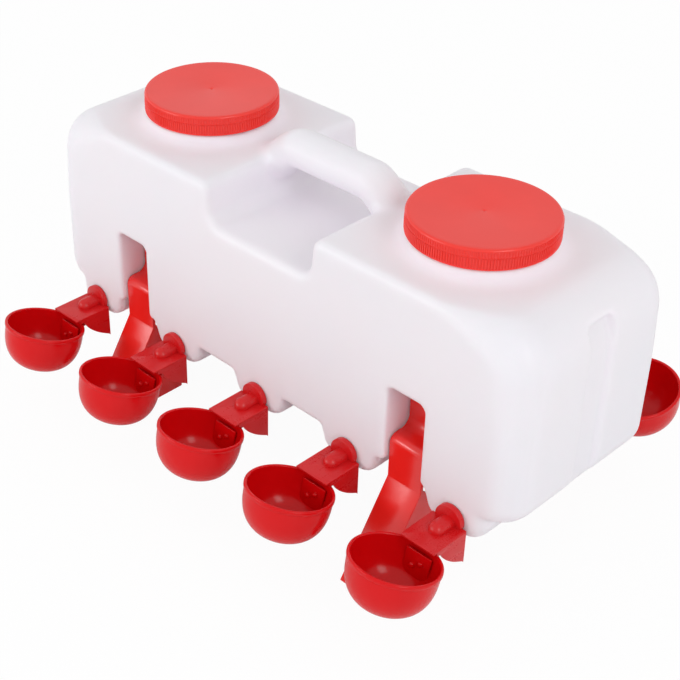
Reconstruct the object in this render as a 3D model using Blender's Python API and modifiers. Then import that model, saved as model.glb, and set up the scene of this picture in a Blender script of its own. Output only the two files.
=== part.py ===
"""Automatic poultry drinker: a blow moulded water tank on two arched stands, with five tilting
cups along each side. Metres, +Z up, standing on Z = 0, the tank's length along X.
The front cups face -Y and the rear cups face +Y."""

import math

import bmesh
import bpy
from mathutils import Matrix, Vector

# Clearance between pieces that touch, and the step that keeps two joined faces from coinciding
GAP = 0.0003
STEP = 0.0004
OVERCUT = 0.001

# How far a chord may leave a rounded corner's arc, on the tank's skin and in its cavity
SKIN_TOLERANCE = 0.0004
CAVITY_TOLERANCE = 0.0009

# Tank body
TANK_LENGTH = 0.504
TANK_END_X = TANK_LENGTH / 2
TANK_WIDTH = 0.170
WALL = 0.0025
BOTTOM_Z = 0.090
TOWER_TOP_Z = 0.247
RECESS_FLOOR_Z = 0.2125
CAP_FROM_END = 0.110
CAP_X = TANK_END_X - CAP_FROM_END
CAP_TO_RECESS = 0.087
RECESS_HALF = CAP_X - CAP_TO_RECESS
RECESS_DRAFT = 0.0015
RECESS_FILLET = 0.014
RECESS_LIP_RADIUS = 0.008
END_TOP_RADIUS = 0.036
END_BOTTOM_RADIUS = 0.015
PLAN_RADIUS = 0.024
EDGE_RADIUS = 0.006
END_STRIP = 0.035
FLAT_HALF = TANK_END_X - END_STRIP
CORNER_ROLL = 0.030
TOP_ROLL_LENGTH = 0.080
TOP_ROLL_FROM_X = TANK_END_X - TOP_ROLL_LENGTH
SIDE_ROLL_FROM_Z = 0.160
ROLL_STATIONS = 5
LEAST_ROUNDING = 0.0006
STRAIGHT = 1e-6

# Sumps across the bottom, one under each pair of cups
SLOT_FROM_END = 0.100
SLOT_X = TANK_END_X - SLOT_FROM_END
INNER_CUP_TO_SLOT = 0.0535
INNER_CUP_X = SLOT_X - INNER_CUP_TO_SLOT
OUTER_CUP_FROM_END = 0.0495
OUTER_CUP_X = TANK_END_X - OUTER_CUP_FROM_END
SUMP_HALF = 0.0255
SUMP_DEPTH = 0.023
SUMP_DRAFT = 0.003
SUMP_RADIUS = 0.016
SUMP_ROOT_RADIUS = 0.0012

# Slots that take the stands
SLOT_WIDTH = 0.035
SLOT_TOP_Z = 0.1585
SLOT_RADIUS = 0.005
SLOT_EDGE_RADIUS = 0.002
SLOT_MOUTH_RADIUS = 0.003

# Grooves down the tank's two ends
GROOVE_HALF = 0.014
GROOVE_DEPTH = 0.004
GROOVE_TOP_Z = 0.229
GROOVE_LEAN = 0.008
GROOVE_BEND_DROP = 0.0215
GROOVE_OVERCUT = 0.01

# Carrying handle between the towers
HANDLE_HALF_WIDTH = 0.017
HANDLE_HALF_HEIGHT = 0.0155
HANDLE_Z = 0.2555
HANDLE_BEND_BACK = 0.019
HANDLE_LEVEL_HALF = RECESS_HALF - HANDLE_BEND_BACK
HANDLE_INTO_TOWER = 0.024
HANDLE_END_X = RECESS_HALF + HANDLE_INTO_TOWER
HANDLE_DROP = 0.028
HANDLE_SIDES = 14
HANDLE_STEPS = 5

# Filler necks and screw caps
CAP_TOP_Z = 0.272
CAP_RADIUS = 0.055
CAP_SKIRT = 0.0162
CAP_WALL = 0.0022
CAP_EDGE_RADIUS = 0.0025
CAP_BAND_HEIGHT = 0.0070
CAP_BAND_STEP = 0.0003
LINER_THICKNESS = 0.0015
LINER_OVERHANG = 0.001
NECK_RADIUS = 0.0512
NECK_BORE = 0.0475
SHOULDER_RADIUS = 0.064
SHOULDER_TOP_RADIUS = 0.0545
SHOULDER_RISE = 0.0022
NECK_CHAMFER = 0.0006
NECK_ROOT = 0.001
NECK_SIDES = 40

# Stands
STAND_WIDTH = 0.0325
STAND_THICKNESS = 0.003
STAND_INNER_Y = 0.0575
STAND_FACE_Y = 0.0795
STAND_BEND_RADIUS = 0.014
STAND_STEP_Z = 0.1115
STAND_STEP_RADIUS = 0.010
STAND_KNEE_Z = 0.075
STAND_FOOT_Y = 0.128
WEB_THICKNESS = 0.003
WEB_INNER_Y = 0.050
WEB_SHOULDER_Y = 0.056
WEB_SHOULDER_Z = 0.060
WEB_BEND_Z = 0.042

# Inlet of each cup
INLET_Z = 0.082
STEM_RADIUS = 0.005
STEM_BORE = 0.003
STEM_REACH = 0.012
SEAL_THICKNESS = 0.0015
SEAL_RADIUS = 0.0095
NUT_RADIUS = 0.0083
NUT_THICKNESS = 0.005

# Cup bracket
FLANGE_RADIUS = 0.013
FLANGE_THICKNESS = 0.003
ROOF_RISE = 0.001
ROOF_THICKNESS = 0.0022
ROOF_WIDTH = 0.031
ROOF_REACH = 0.044
PLATE_THICKNESS = 0.002
PLATE_SWEEP = 0.0255
PLATE_NOTCH_OUT = 0.0275
SKIRT_DEPTH = 0.0055
PLATE_DEPTH = 0.034
BOSS_RADIUS = 0.0065
BOSS_REACH = 0.0255
NOZZLE_RADIUS = 0.0035
NOZZLE_ROOT_RADIUS = 0.0052
NOZZLE_OUT = 0.0115
NOZZLE_BORE = 0.0012
NOZZLE_END = 0.0112

# Cup bowl, measured from the inlet's axis and the tank's face
BOWL_RADIUS = 0.0348
BOWL_LIP = 0.0026
BOWL_LIP_HEIGHT = 0.0034
BOWL_BODY_RADIUS = 0.0340
BOWL_DEPTH = 0.040
BOWL_WALL = 0.0018
BOWL_FULLNESS = 2.7
BOWL_OUT = 0.060
BOWL_DROP = 0.0035
BOWL_TILT = math.radians(14.5)
BOWL_SIDES = 22
GUARD_OUT = 0.0415
GUARD_HALF = 0.0145
GUARD_THICKNESS = 0.0018
GUARD_BELOW_RIM = 0.004
GUARD_SHOULDER_HALF = 0.0205
GUARD_SHOULDER_DROP = 0.014
GUARD_WAIST_HALF = 0.0198
GUARD_WAIST_DROP = 0.032
GUARD_FOOT_HALF = 0.0124
GUARD_FOOT_DROP = 0.0365

# Bowl's lever and the trunnions that it turns on
PIVOT_OUT = 0.019
PIVOT_DROP = 0.016
TRUNNION_RADIUS = 0.0022
LEVER_HALF = 0.0095
LEVER_THICKNESS = 0.0022
LEVER_BACK = 0.0065
LEVER_FRONT = 0.0299
EAR_RADIUS = 0.0042
PAD_RADIUS = 0.0038
PAD_THICKNESS = 0.0012

CAP_RED = (0.80, 0.045, 0.030, 1.0)
DEEP_RED = (0.62, 0.018, 0.022, 1.0)
MILKY = (0.84, 0.82, 0.86, 1.0)
PALE_GREY = (0.62, 0.62, 0.62, 1.0)
BLACK = (0.025, 0.025, 0.025, 1.0)

CUP_X = (-OUTER_CUP_X, -INNER_CUP_X, 0.0, INNER_CUP_X, OUTER_CUP_X)


def clear_scene():
    for obj in list(bpy.data.objects):
        bpy.data.objects.remove(obj, do_unlink=True)


def new_collection(name, hidden=False):
    collection = bpy.data.collections.new(name)
    collection.hide_render = hidden
    bpy.context.scene.collection.children.link(collection)
    return collection


def new_material(name, colour, roughness):
    material = bpy.data.materials.new(name)
    material.use_nodes = True
    shader = material.node_tree.nodes["Principled BSDF"]
    shader.inputs["Base Color"].default_value = colour
    shader.inputs["Roughness"].default_value = roughness
    shader.inputs["Metallic"].default_value = 0.0
    return material


def add_object(name, mesh, collection, material=None):
    obj = bpy.data.objects.new(name, mesh)
    collection.objects.link(obj)
    if material:
        mesh.materials.append(material)
    return obj


def mesh_from(build, name):
    """A mesh made by a function that fills a bmesh."""
    shape = bmesh.new()
    build(shape)
    bmesh.ops.recalc_face_normals(shape, faces=shape.faces)
    mesh = bpy.data.meshes.new(name)
    shape.to_mesh(mesh)
    shape.free()
    return mesh


def add_cutter(name, mesh, collection):
    cutter = add_object(name, mesh, collection)
    cutter.hide_render = True
    cutter.display_type = "WIRE"
    return cutter


def boolean(obj, other, operation):
    modifier = obj.modifiers.new(operation.lower(), "BOOLEAN")
    modifier.operation = operation
    modifier.object = other
    modifier.solver = "EXACT"


def baked_mesh(obj, name):
    """The object's mesh with its modifiers applied, in world space."""
    bpy.context.view_layer.update()
    graph = bpy.context.evaluated_depsgraph_get()
    mesh = bpy.data.meshes.new_from_object(obj.evaluated_get(graph))
    mesh.transform(obj.matrix_world)
    mesh.name = name
    return mesh


def smooth(mesh, angle=40):
    mesh.shade_smooth()
    mesh.set_sharp_from_angle(angle=math.radians(angle))


def add_box(shape, low, high):
    """A box between two corners, added to a bmesh."""
    made = bmesh.ops.create_cube(shape, size=1.0)
    size = [b - a for a, b in zip(low, high)]
    middle = [(a + b) / 2 for a, b in zip(low, high)]
    place = Matrix.Translation(middle) @ Matrix.Diagonal((*size, 1.0))
    bmesh.ops.transform(shape, matrix=place, verts=made["verts"])


def add_rod(shape, start, end, radius, sides, tip_radius=None):
    """A round or tapered rod between two points, added to a bmesh."""
    start, end = Vector(start), Vector(end)
    made = bmesh.ops.create_cone(
        shape,
        cap_ends=True,
        segments=sides,
        radius1=radius,
        radius2=radius if tip_radius is None else tip_radius,
        depth=(end - start).length,
    )
    turn = (end - start).to_track_quat("Z", "Y").to_matrix().to_4x4()
    place = Matrix.Translation((start + end) / 2) @ turn
    bmesh.ops.transform(shape, matrix=place, verts=made["verts"])


def clearing(radius, sides):
    """The corner radius of a many sided hole whose flats just clear a round pin."""
    return radius / math.cos(math.pi / sides)


def rod_mesh(name, start, end, radius, sides, tip_radius=None):
    return mesh_from(lambda s: add_rod(s, start, end, radius, sides, tip_radius), name)


def box_mesh(name, low, high):
    return mesh_from(lambda s: add_box(s, low, high), name)


def prism_mesh(name, outline, low, high, across):
    """A flat outline pushed along X, or along Y, from low to high."""

    def build(shape):
        lift = (lambda d, a, b: (d, a, b)) if across == "X" else (lambda d, a, b: (a, d, b))
        face = shape.faces.new([shape.verts.new(lift(low, a, b)) for a, b in outline])
        pushed = bmesh.ops.extrude_face_region(shape, geom=[face])
        corners = [item for item in pushed["geom"] if isinstance(item, bmesh.types.BMVert)]
        step = Vector(lift(high - low, 0, 0))
        bmesh.ops.translate(shape, verts=corners, vec=step)

    return mesh_from(build, name)


def screw_mesh(name, profile, sides):
    """A profile of radius and height, turned about Z. It runs top to bottom down its outer side."""
    edge = bpy.data.meshes.new(name)
    edge.from_pydata(
        [(radius, 0, height) for radius, height in profile],
        [(i, i + 1) for i in range(len(profile) - 1)],
        [],
    )
    holder = bpy.data.objects.new(name, edge)
    bpy.context.scene.collection.objects.link(holder)
    turned = holder.modifiers.new("turn", "SCREW")
    turned.steps = turned.render_steps = sides
    turned.use_merge_vertices = True
    turned.merge_threshold = 0.00005
    turned.use_smooth_shade = True
    mesh = baked_mesh(holder, name)
    bpy.data.objects.remove(holder, do_unlink=True)
    return mesh


def arc(centre, radius, start, end, steps):
    """Points on an arc, angles in degrees."""
    angles = [math.radians(start + (end - start) * i / steps) for i in range(steps + 1)]
    return [(centre[0] + radius * math.cos(a), centre[1] + radius * math.sin(a)) for a in angles]


def mirrored(corners):
    """The half outline from bottom centre to top centre, then its mirror image back again."""
    return corners + [(-x, z, *rest) for x, z, *rest in reversed(corners)]


def tank_corners():
    """Corners of the tank's front outline: X, Z, corner radius, and how far the edge rounds in."""
    slot_low = SLOT_X - SLOT_WIDTH / 2
    slot_high = SLOT_X + SLOT_WIDTH / 2
    end = TANK_LENGTH / 2
    top_step = (end - END_TOP_RADIUS - TOP_ROLL_FROM_X) / ROLL_STATIONS
    side_step = (TOWER_TOP_Z - END_TOP_RADIUS - SIDE_ROLL_FROM_Z) / ROLL_STATIONS
    stations_back = range(ROLL_STATIONS - 1, -1, -1)

    def sump(centre, both=True, outer_edge=SLOT_EDGE_RADIUS):
        foot, root = SUMP_HALF, SUMP_HALF + SUMP_DRAFT
        low = BOTTOM_Z - SUMP_DEPTH
        right = [
            (centre + foot, low, SUMP_RADIUS, EDGE_RADIUS),
            (centre + root, BOTTOM_Z, SUMP_ROOT_RADIUS, outer_edge),
        ]
        left = [
            (centre - root, BOTTOM_Z, SUMP_ROOT_RADIUS, SLOT_EDGE_RADIUS),
            (centre - foot, low, SUMP_RADIUS, EDGE_RADIUS),
        ]
        return left + right if both else right

    return mirrored(
        sump(0.0, both=False)
        + sump(INNER_CUP_X)
        + [
            (slot_low, BOTTOM_Z, SLOT_MOUTH_RADIUS, SLOT_EDGE_RADIUS),
            (slot_low, SLOT_TOP_Z, SLOT_RADIUS, SLOT_EDGE_RADIUS),
            (slot_high, SLOT_TOP_Z, SLOT_RADIUS, SLOT_EDGE_RADIUS),
            (slot_high, BOTTOM_Z, SLOT_MOUTH_RADIUS, SLOT_EDGE_RADIUS),
        ]
        + sump(OUTER_CUP_X, outer_edge=EDGE_RADIUS)
        + [(end, BOTTOM_Z, END_BOTTOM_RADIUS, EDGE_RADIUS)]
        + [(end, SIDE_ROLL_FROM_Z + k * side_step, 0.0, EDGE_RADIUS) for k in range(ROLL_STATIONS)]
        + [(end, TOWER_TOP_Z, END_TOP_RADIUS, EDGE_RADIUS)]
        + [(TOP_ROLL_FROM_X + k * top_step, TOWER_TOP_Z, 0.0, EDGE_RADIUS) for k in stations_back]
        + [
            (RECESS_HALF + RECESS_DRAFT, TOWER_TOP_Z, RECESS_LIP_RADIUS, EDGE_RADIUS),
            (RECESS_HALF - RECESS_DRAFT, RECESS_FLOOR_Z, RECESS_FILLET, EDGE_RADIUS),
        ]
    )


def turn_of(before, corner, after):
    """Unit directions in and out of a corner, and the turn between them, positive to the left."""
    into = (Vector(corner[:2]) - Vector(before[:2])).normalized()
    out = (Vector(after[:2]) - Vector(corner[:2])).normalized()
    return into, out, math.atan2(into.x * out.y - into.y * out.x, into.dot(out))


def moved_in(corners, distance):
    """The same outline with every side moved in by a distance, and radii that follow."""
    result = []
    for i, corner in enumerate(corners):
        into, out, turn = turn_of(corners[i - 1], corner, corners[(i + 1) % len(corners)])
        left_in, left_out = Vector((-into.y, into.x)), Vector((-out.y, out.x))
        shift = (left_in + left_out) / (1 + left_in.dot(left_out)) * distance
        radius = corner[2] - distance if turn > 0 else corner[2] + distance
        rounding = max(corner[3] - distance, LEAST_ROUNDING)
        place = Vector(corner[:2]) + shift
        result.append((place.x, place.y, max(radius, 2 * LEAST_ROUNDING), rounding))
    return result


def rounded_outline(corners, tolerance):
    """Points round the outline, each with its outward normal and how far its edge rounds in."""
    points = []
    for i, corner in enumerate(corners):
        into, out, turn = turn_of(corners[i - 1], corner, corners[(i + 1) % len(corners)])
        x, z, radius, rounding = corner
        if abs(turn) < STRAIGHT:
            points.append((Vector((x, z)), Vector((into.y, -into.x)), rounding))
            continue
        widest = 2 * math.acos(1 - tolerance / max(radius, tolerance))
        steps = math.ceil(abs(turn) / widest)
        side = 1 if turn > 0 else -1
        start = Vector((x, z)) - into * radius * math.tan(abs(turn) / 2)
        centre = start + Vector((-into.y, into.x)) * radius * side
        for k in range(steps + 1):
            angle = math.atan2(-into.x, into.y) + turn * k / steps
            normal = Vector((math.cos(angle), math.sin(angle)))
            points.append((centre + normal * radius * side, normal, rounding))
    return points


def eased(value, low, high):
    """0 below low, 1 above high, and a smooth rise between."""
    share = min(1.0, max(0.0, (value - low) / (high - low)))
    return share * share * (3 - 2 * share)


def end_roll(x, z, rounding, inset):
    """The roll of the front edge on the upper part of an end, widest at the top corner."""
    along_top = eased(x, TOP_ROLL_FROM_X, TANK_LENGTH / 2 - END_TOP_RADIUS / 2)
    up_side = eased(z, SIDE_ROLL_FROM_Z, TOWER_TOP_Z - END_TOP_RADIUS / 2)
    widest = PLAN_RADIUS - inset + (CORNER_ROLL - PLAN_RADIUS) * up_side
    return rounding + (widest - rounding) * along_top


def loft_tank(shape, inset, tolerance, rings):
    """Walls round the front outline, whose front and rear edges roll in to two flat faces.

    Edges round by their own small radius. The tank's ends draw in by the plan radius instead:
    below, the strip beyond the flat faces is squeezed with them, and above, the roll grows
    along the tower's top so that the corner is round every way."""
    end = TANK_LENGTH / 2 - inset
    plan = PLAN_RADIUS - inset
    squeezed = end - FLAT_HALF
    outline = rounded_outline(moved_in(tank_corners(), inset), tolerance)
    loops = []
    for side in (-1, 1):
        for k in range(rings + 1):
            angle = math.pi / 2 * k / rings
            turned_in = 1 - math.cos(angle)
            loop = []
            for point, normal, rounding in outline:
                sign = math.copysign(1, point.x)
                beyond = max(0.0, abs(point.x) - FLAT_HALF)
                on_end = normal.y > -STRAIGHT and normal.x * sign > -STRAIGHT
                if on_end and point.y > SIDE_ROLL_FROM_Z - STRAIGHT:
                    depth = end_roll(abs(point.x), point.y, rounding, inset)
                    moved = normal * depth * turned_in
                else:
                    endwise = eased(beyond, 0.0, squeezed)
                    depth = rounding + (plan - rounding) * endwise
                    sideways = normal.x * rounding * (1 - min(1.0, beyond / squeezed))
                    drawn = sign * beyond * plan / squeezed + sideways
                    moved = Vector((drawn, normal.y * rounding)) * turned_in
                y = side * (TANK_WIDTH / 2 - inset - depth * (1 - math.sin(angle)))
                loop.append(shape.verts.new((point.x - moved.x, y, point.y - moved.y)))
            loops.append(loop)
    order = list(reversed(loops[: rings + 1])) + loops[rings + 1 :]
    for near, far in zip(order, order[1:]):
        for i in range(len(near)):
            j = (i + 1) % len(near)
            shape.faces.new((near[i], near[j], far[j], far[i]))
    shape.faces.new(order[0])
    shape.faces.new(order[-1])


def groove_outline(depth, margin):
    """The groove in a tank end, seen from the front. Its floor leans in where the end curves."""
    end = TANK_LENGTH / 2
    floor = end - depth
    return [
        (floor, BOTTOM_Z - SUMP_DEPTH),
        (end + GROOVE_OVERCUT, BOTTOM_Z - SUMP_DEPTH),
        (end + GROOVE_OVERCUT, GROOVE_TOP_Z + margin),
        (floor - GROOVE_LEAN, GROOVE_TOP_Z + margin),
        (floor, GROOVE_TOP_Z - GROOVE_BEND_DROP),
    ]


def groove_mesh(name, side, depth, half, margin):
    outline = [(side * x, z) for x, z in groove_outline(depth, margin)]
    return prism_mesh(name, outline, -half, half, "Y")


def handle_mesh(name, half_width, half_height, sides):
    """The arched carrying handle: an oval swept along a route that dips into both towers."""
    curve = bpy.data.curves.new(name, "CURVE")
    curve.dimensions = "3D"
    curve.bevel_depth = half_height
    curve.bevel_resolution = sides // 4
    curve.use_fill_caps = True
    run = HANDLE_END_X - HANDLE_LEVEL_HALF
    dips = [HANDLE_LEVEL_HALF + run * (k + 1) / HANDLE_STEPS for k in range(HANDLE_STEPS)]
    route = [-x for x in reversed(dips)] + [-HANDLE_LEVEL_HALF, 0.0, HANDLE_LEVEL_HALF] + dips
    spline = curve.splines.new("POLY")
    spline.points.add(len(route) - 1)
    for point, x in zip(spline.points, route):
        share = max(0.0, (abs(x) - HANDLE_LEVEL_HALF) / run)
        drop = HANDLE_DROP / 2 * (1 - math.cos(math.pi * min(share, 1.0)))
        point.co = (x, 0.0, HANDLE_Z - drop, 1.0)
    holder = bpy.data.objects.new(name, curve)
    bpy.context.scene.collection.objects.link(holder)
    mesh = baked_mesh(holder, name)
    bpy.data.objects.remove(holder, do_unlink=True)
    mesh.transform(Matrix.Diagonal((1.0, half_width / half_height, 1.0, 1.0)))
    shape = bmesh.new()
    shape.from_mesh(mesh)
    bmesh.ops.remove_doubles(shape, verts=shape.verts, dist=0.00005)
    bmesh.ops.recalc_face_normals(shape, faces=shape.faces)
    shape.to_mesh(mesh)
    shape.free()
    smooth(mesh, 50)
    return mesh


def neck_profile():
    """The neck and the shoulder that it stands on, outside only, down into the tower's top."""
    skirt_end = CAP_TOP_Z - CAP_SKIRT
    rim = CAP_TOP_Z - CAP_WALL - GAP - LINER_THICKNESS - GAP
    return [
        (0.0, rim),
        (NECK_RADIUS - NECK_CHAMFER, rim),
        (NECK_RADIUS, rim - NECK_CHAMFER),
        (NECK_RADIUS, skirt_end - 2 * GAP),
        (SHOULDER_TOP_RADIUS, skirt_end - 3 * GAP),
        ((SHOULDER_TOP_RADIUS + SHOULDER_RADIUS) / 2, TOWER_TOP_Z + SHOULDER_RISE),
        (SHOULDER_RADIUS, TOWER_TOP_Z + GAP),
        (SHOULDER_RADIUS, TOWER_TOP_Z - NECK_ROOT),
        (0.0, TOWER_TOP_Z - NECK_ROOT),
    ]


def mouth_mesh(name):
    """The bore of a neck, turned half a step so that none of its edges meets one of the neck's."""
    low = TOWER_TOP_Z - 3 * WALL
    mouth = screw_mesh(
        name, [(0.0, CAP_TOP_Z), (NECK_BORE, CAP_TOP_Z), (NECK_BORE, low), (0.0, low)], NECK_SIDES
    )
    mouth.transform(Matrix.Rotation(math.pi / NECK_SIDES, 4, "Z"))
    return mouth


def make_tank(parts, cutters, material):
    """The outside forms joined, less one cavity that holds the grooves, mouths, grip and ports."""
    outside = mesh_from(lambda s: loft_tank(s, 0.0, SKIN_TOLERANCE, 4), "tank")
    inside = mesh_from(lambda s: loft_tank(s, WALL, CAVITY_TOLERANCE, 2), "cavity")
    smooth(outside, 50)
    body = add_object("tank", outside, parts, material)
    cavity = add_cutter("cavity", inside, cutters)

    def join(target, name, mesh, operation="UNION"):
        boolean(target, add_cutter(name, mesh, cutters), operation)

    for side, tag in ((-1, "left"), (1, "right")):
        groove = groove_mesh("groove", side, GROOVE_DEPTH, GROOVE_HALF, 0.0)
        join(body, f"groove_{tag}", groove, "DIFFERENCE")
        liner = groove_mesh("groove", side, GROOVE_DEPTH + WALL, GROOVE_HALF + WALL, WALL)
        join(cavity, f"groove_inside_{tag}", liner, "DIFFERENCE")
    join(body, "handle", handle_mesh("handle", HANDLE_HALF_WIDTH, HANDLE_HALF_HEIGHT, HANDLE_SIDES))
    for side, tag in ((-1, "left"), (1, "right")):
        neck = screw_mesh("neck", neck_profile(), NECK_SIDES)
        mouth = mouth_mesh("mouth")
        for mesh in (neck, mouth):
            mesh.transform(Matrix.Translation((side * CAP_X, 0, 0)))
        join(body, f"neck_{tag}", neck)
        join(cavity, f"mouth_{tag}", mouth)
    grip = handle_mesh("grip", HANDLE_HALF_WIDTH - WALL, HANDLE_HALF_HEIGHT - WALL, 8)
    join(cavity, "grip", grip)
    radius = clearing(STEM_RADIUS + GAP, 12)
    for side, tag in ((-1, "front"), (1, "rear")):
        for number, x in enumerate(CUP_X, 1):
            start = (x, side * (TANK_WIDTH / 2 - 2 * WALL), INLET_Z)
            end = (x, side * (TANK_WIDTH / 2 + WALL), INLET_Z)
            join(cavity, f"port_{tag}_{number}", rod_mesh("port", start, end, radius, 12))
    boolean(body, cavity, "DIFFERENCE")


def cap_profile():
    inside = CAP_RADIUS - CAP_WALL
    skirt_end = CAP_TOP_Z - CAP_SKIRT
    edge = arc(
        (CAP_RADIUS - CAP_EDGE_RADIUS, CAP_TOP_Z - CAP_EDGE_RADIUS), CAP_EDGE_RADIUS, 90, 0, 3
    )
    return (
        [(0.0, CAP_TOP_Z)]
        + edge
        + [
            (CAP_RADIUS, skirt_end + CAP_BAND_HEIGHT + CAP_BAND_STEP),
            (CAP_RADIUS + CAP_BAND_STEP, skirt_end + CAP_BAND_HEIGHT),
            (CAP_RADIUS + CAP_BAND_STEP, skirt_end),
            (inside, skirt_end),
            (inside, CAP_TOP_Z - CAP_WALL),
            (0.0, CAP_TOP_Z - CAP_WALL),
        ]
    )


def liner_profile():
    top = CAP_TOP_Z - CAP_WALL - GAP
    edge = NECK_RADIUS + LINER_OVERHANG
    return [(0.0, top), (edge, top), (edge, top - LINER_THICKNESS), (0.0, top - LINER_THICKNESS)]


def make_cap(side, tag, parts, red, grey):
    for name, profile, material, sides in (
        (f"cap_{tag}", cap_profile(), red, 40),
        (f"cap_liner_{tag}", liner_profile(), grey, 32),
    ):
        mesh = screw_mesh(name, profile, sides)
        smooth(mesh)
        obj = add_object(name, mesh, parts, material)
        obj.location = (side * CAP_X, 0, 0)


def stand_route():
    """One side of the strap, from the middle of the arch down to the ground, as Y and Z."""
    into_corner = STAND_WIDTH / 2 - SLOT_WIDTH / 2 + SLOT_RADIUS
    corner_drop = SLOT_RADIUS - math.sqrt(SLOT_RADIUS**2 - into_corner**2)
    top = SLOT_TOP_Z - corner_drop - 3 * GAP - STAND_THICKNESS / 2
    upright = STAND_INNER_Y
    face = STAND_FACE_Y - STAND_THICKNESS / 2
    bend = STAND_BEND_RADIUS
    step = STAND_STEP_RADIUS
    shoulder = face - upright - step
    knee = (face, STAND_KNEE_Z)
    foot = (STAND_FOOT_Y, -STAND_THICKNESS)
    return (
        [(0.0, top)]
        + arc((upright - bend, top - bend), bend, 90, 0, 4)
        + arc((upright + step, STAND_STEP_Z + step), step, 180, 262, 4)
        + arc((face - shoulder / 2, STAND_STEP_Z - shoulder / 2), shoulder / 2, 80, 0, 3)
        + [knee, foot]
    )


def strap_mesh(name):
    """The bent strap: an open strip with a thickness."""
    half = stand_route()
    route = [(-y, z) for y, z in reversed(half[1:])] + half

    def build(shape):
        rows = [
            [shape.verts.new((side * STAND_WIDTH / 2, y, z)) for side in (-1, 1)] for y, z in route
        ]
        for near, far in zip(rows, rows[1:]):
            shape.faces.new((near[0], near[1], far[1], far[0]))

    holder = bpy.data.objects.new(name, mesh_from(build, name))
    bpy.context.scene.collection.objects.link(holder)
    solid = holder.modifiers.new("thickness", "SOLIDIFY")
    solid.thickness = STAND_THICKNESS
    solid.offset = 0.0
    solid.use_even_offset = True
    mesh = baked_mesh(holder, name)
    bpy.data.objects.remove(holder, do_unlink=True)
    smooth(mesh, 35)
    return mesh


def web_outline(side):
    """The triangular side web of a foot, as Y and Z."""
    face = STAND_FACE_Y - STAND_THICKNESS / 2
    corners = [
        (face, STAND_KNEE_Z + STAND_THICKNESS),
        (face - STAND_THICKNESS / 3, STAND_KNEE_Z + STAND_THICKNESS),
        (WEB_SHOULDER_Y, WEB_SHOULDER_Z),
        (WEB_INNER_Y, WEB_BEND_Z),
        (WEB_INNER_Y, -STAND_THICKNESS),
        (STAND_FOOT_Y, -STAND_THICKNESS),
        (face, STAND_KNEE_Z),
    ]
    return [(side * y, z) for y, z in corners]


def make_stand(side, tag, parts, cutters, material):
    name = f"stand_{tag}"
    stand = add_object(name, strap_mesh(name), parts, material)
    for end in (-1, 1):
        for edge in (-1, 1):
            outer = edge * STAND_WIDTH / 2
            inner = edge * (STAND_WIDTH / 2 - WEB_THICKNESS)
            web = prism_mesh(
                f"{name}_web", web_outline(end), min(inner, outer), max(inner, outer), "X"
            )
            boolean(stand, add_cutter(f"{name}_web", web, cutters), "UNION")
    reach = STAND_FOOT_Y + 0.05
    ground = box_mesh(f"{name}_ground", (-STAND_WIDTH, -reach, -0.05), (STAND_WIDTH, reach, 0.0))
    boolean(stand, add_cutter(f"{name}_ground", ground, cutters), "DIFFERENCE")
    stand.location = (side * SLOT_X, 0, 0)
    for cutter in cutters.objects:
        if cutter.name.startswith(name):
            cutter.location = stand.location


def bracket_plate_outline():
    """A bracket's side plate, seen from the side: out from the tank, and up from the inlet."""
    back = SEAL_THICKNESS + 2 * GAP + STEP
    top = ROOF_RISE + STEP
    sweep = arc((back, PLATE_SWEEP - PLATE_DEPTH), PLATE_SWEEP, -84, -20, 5)
    return (
        [(back, top), (back, -PLATE_DEPTH)]
        + sweep
        + [(PLATE_NOTCH_OUT, -SKIRT_DEPTH), (ROOF_REACH, -SKIRT_DEPTH), (ROOF_REACH, top)]
    )


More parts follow.
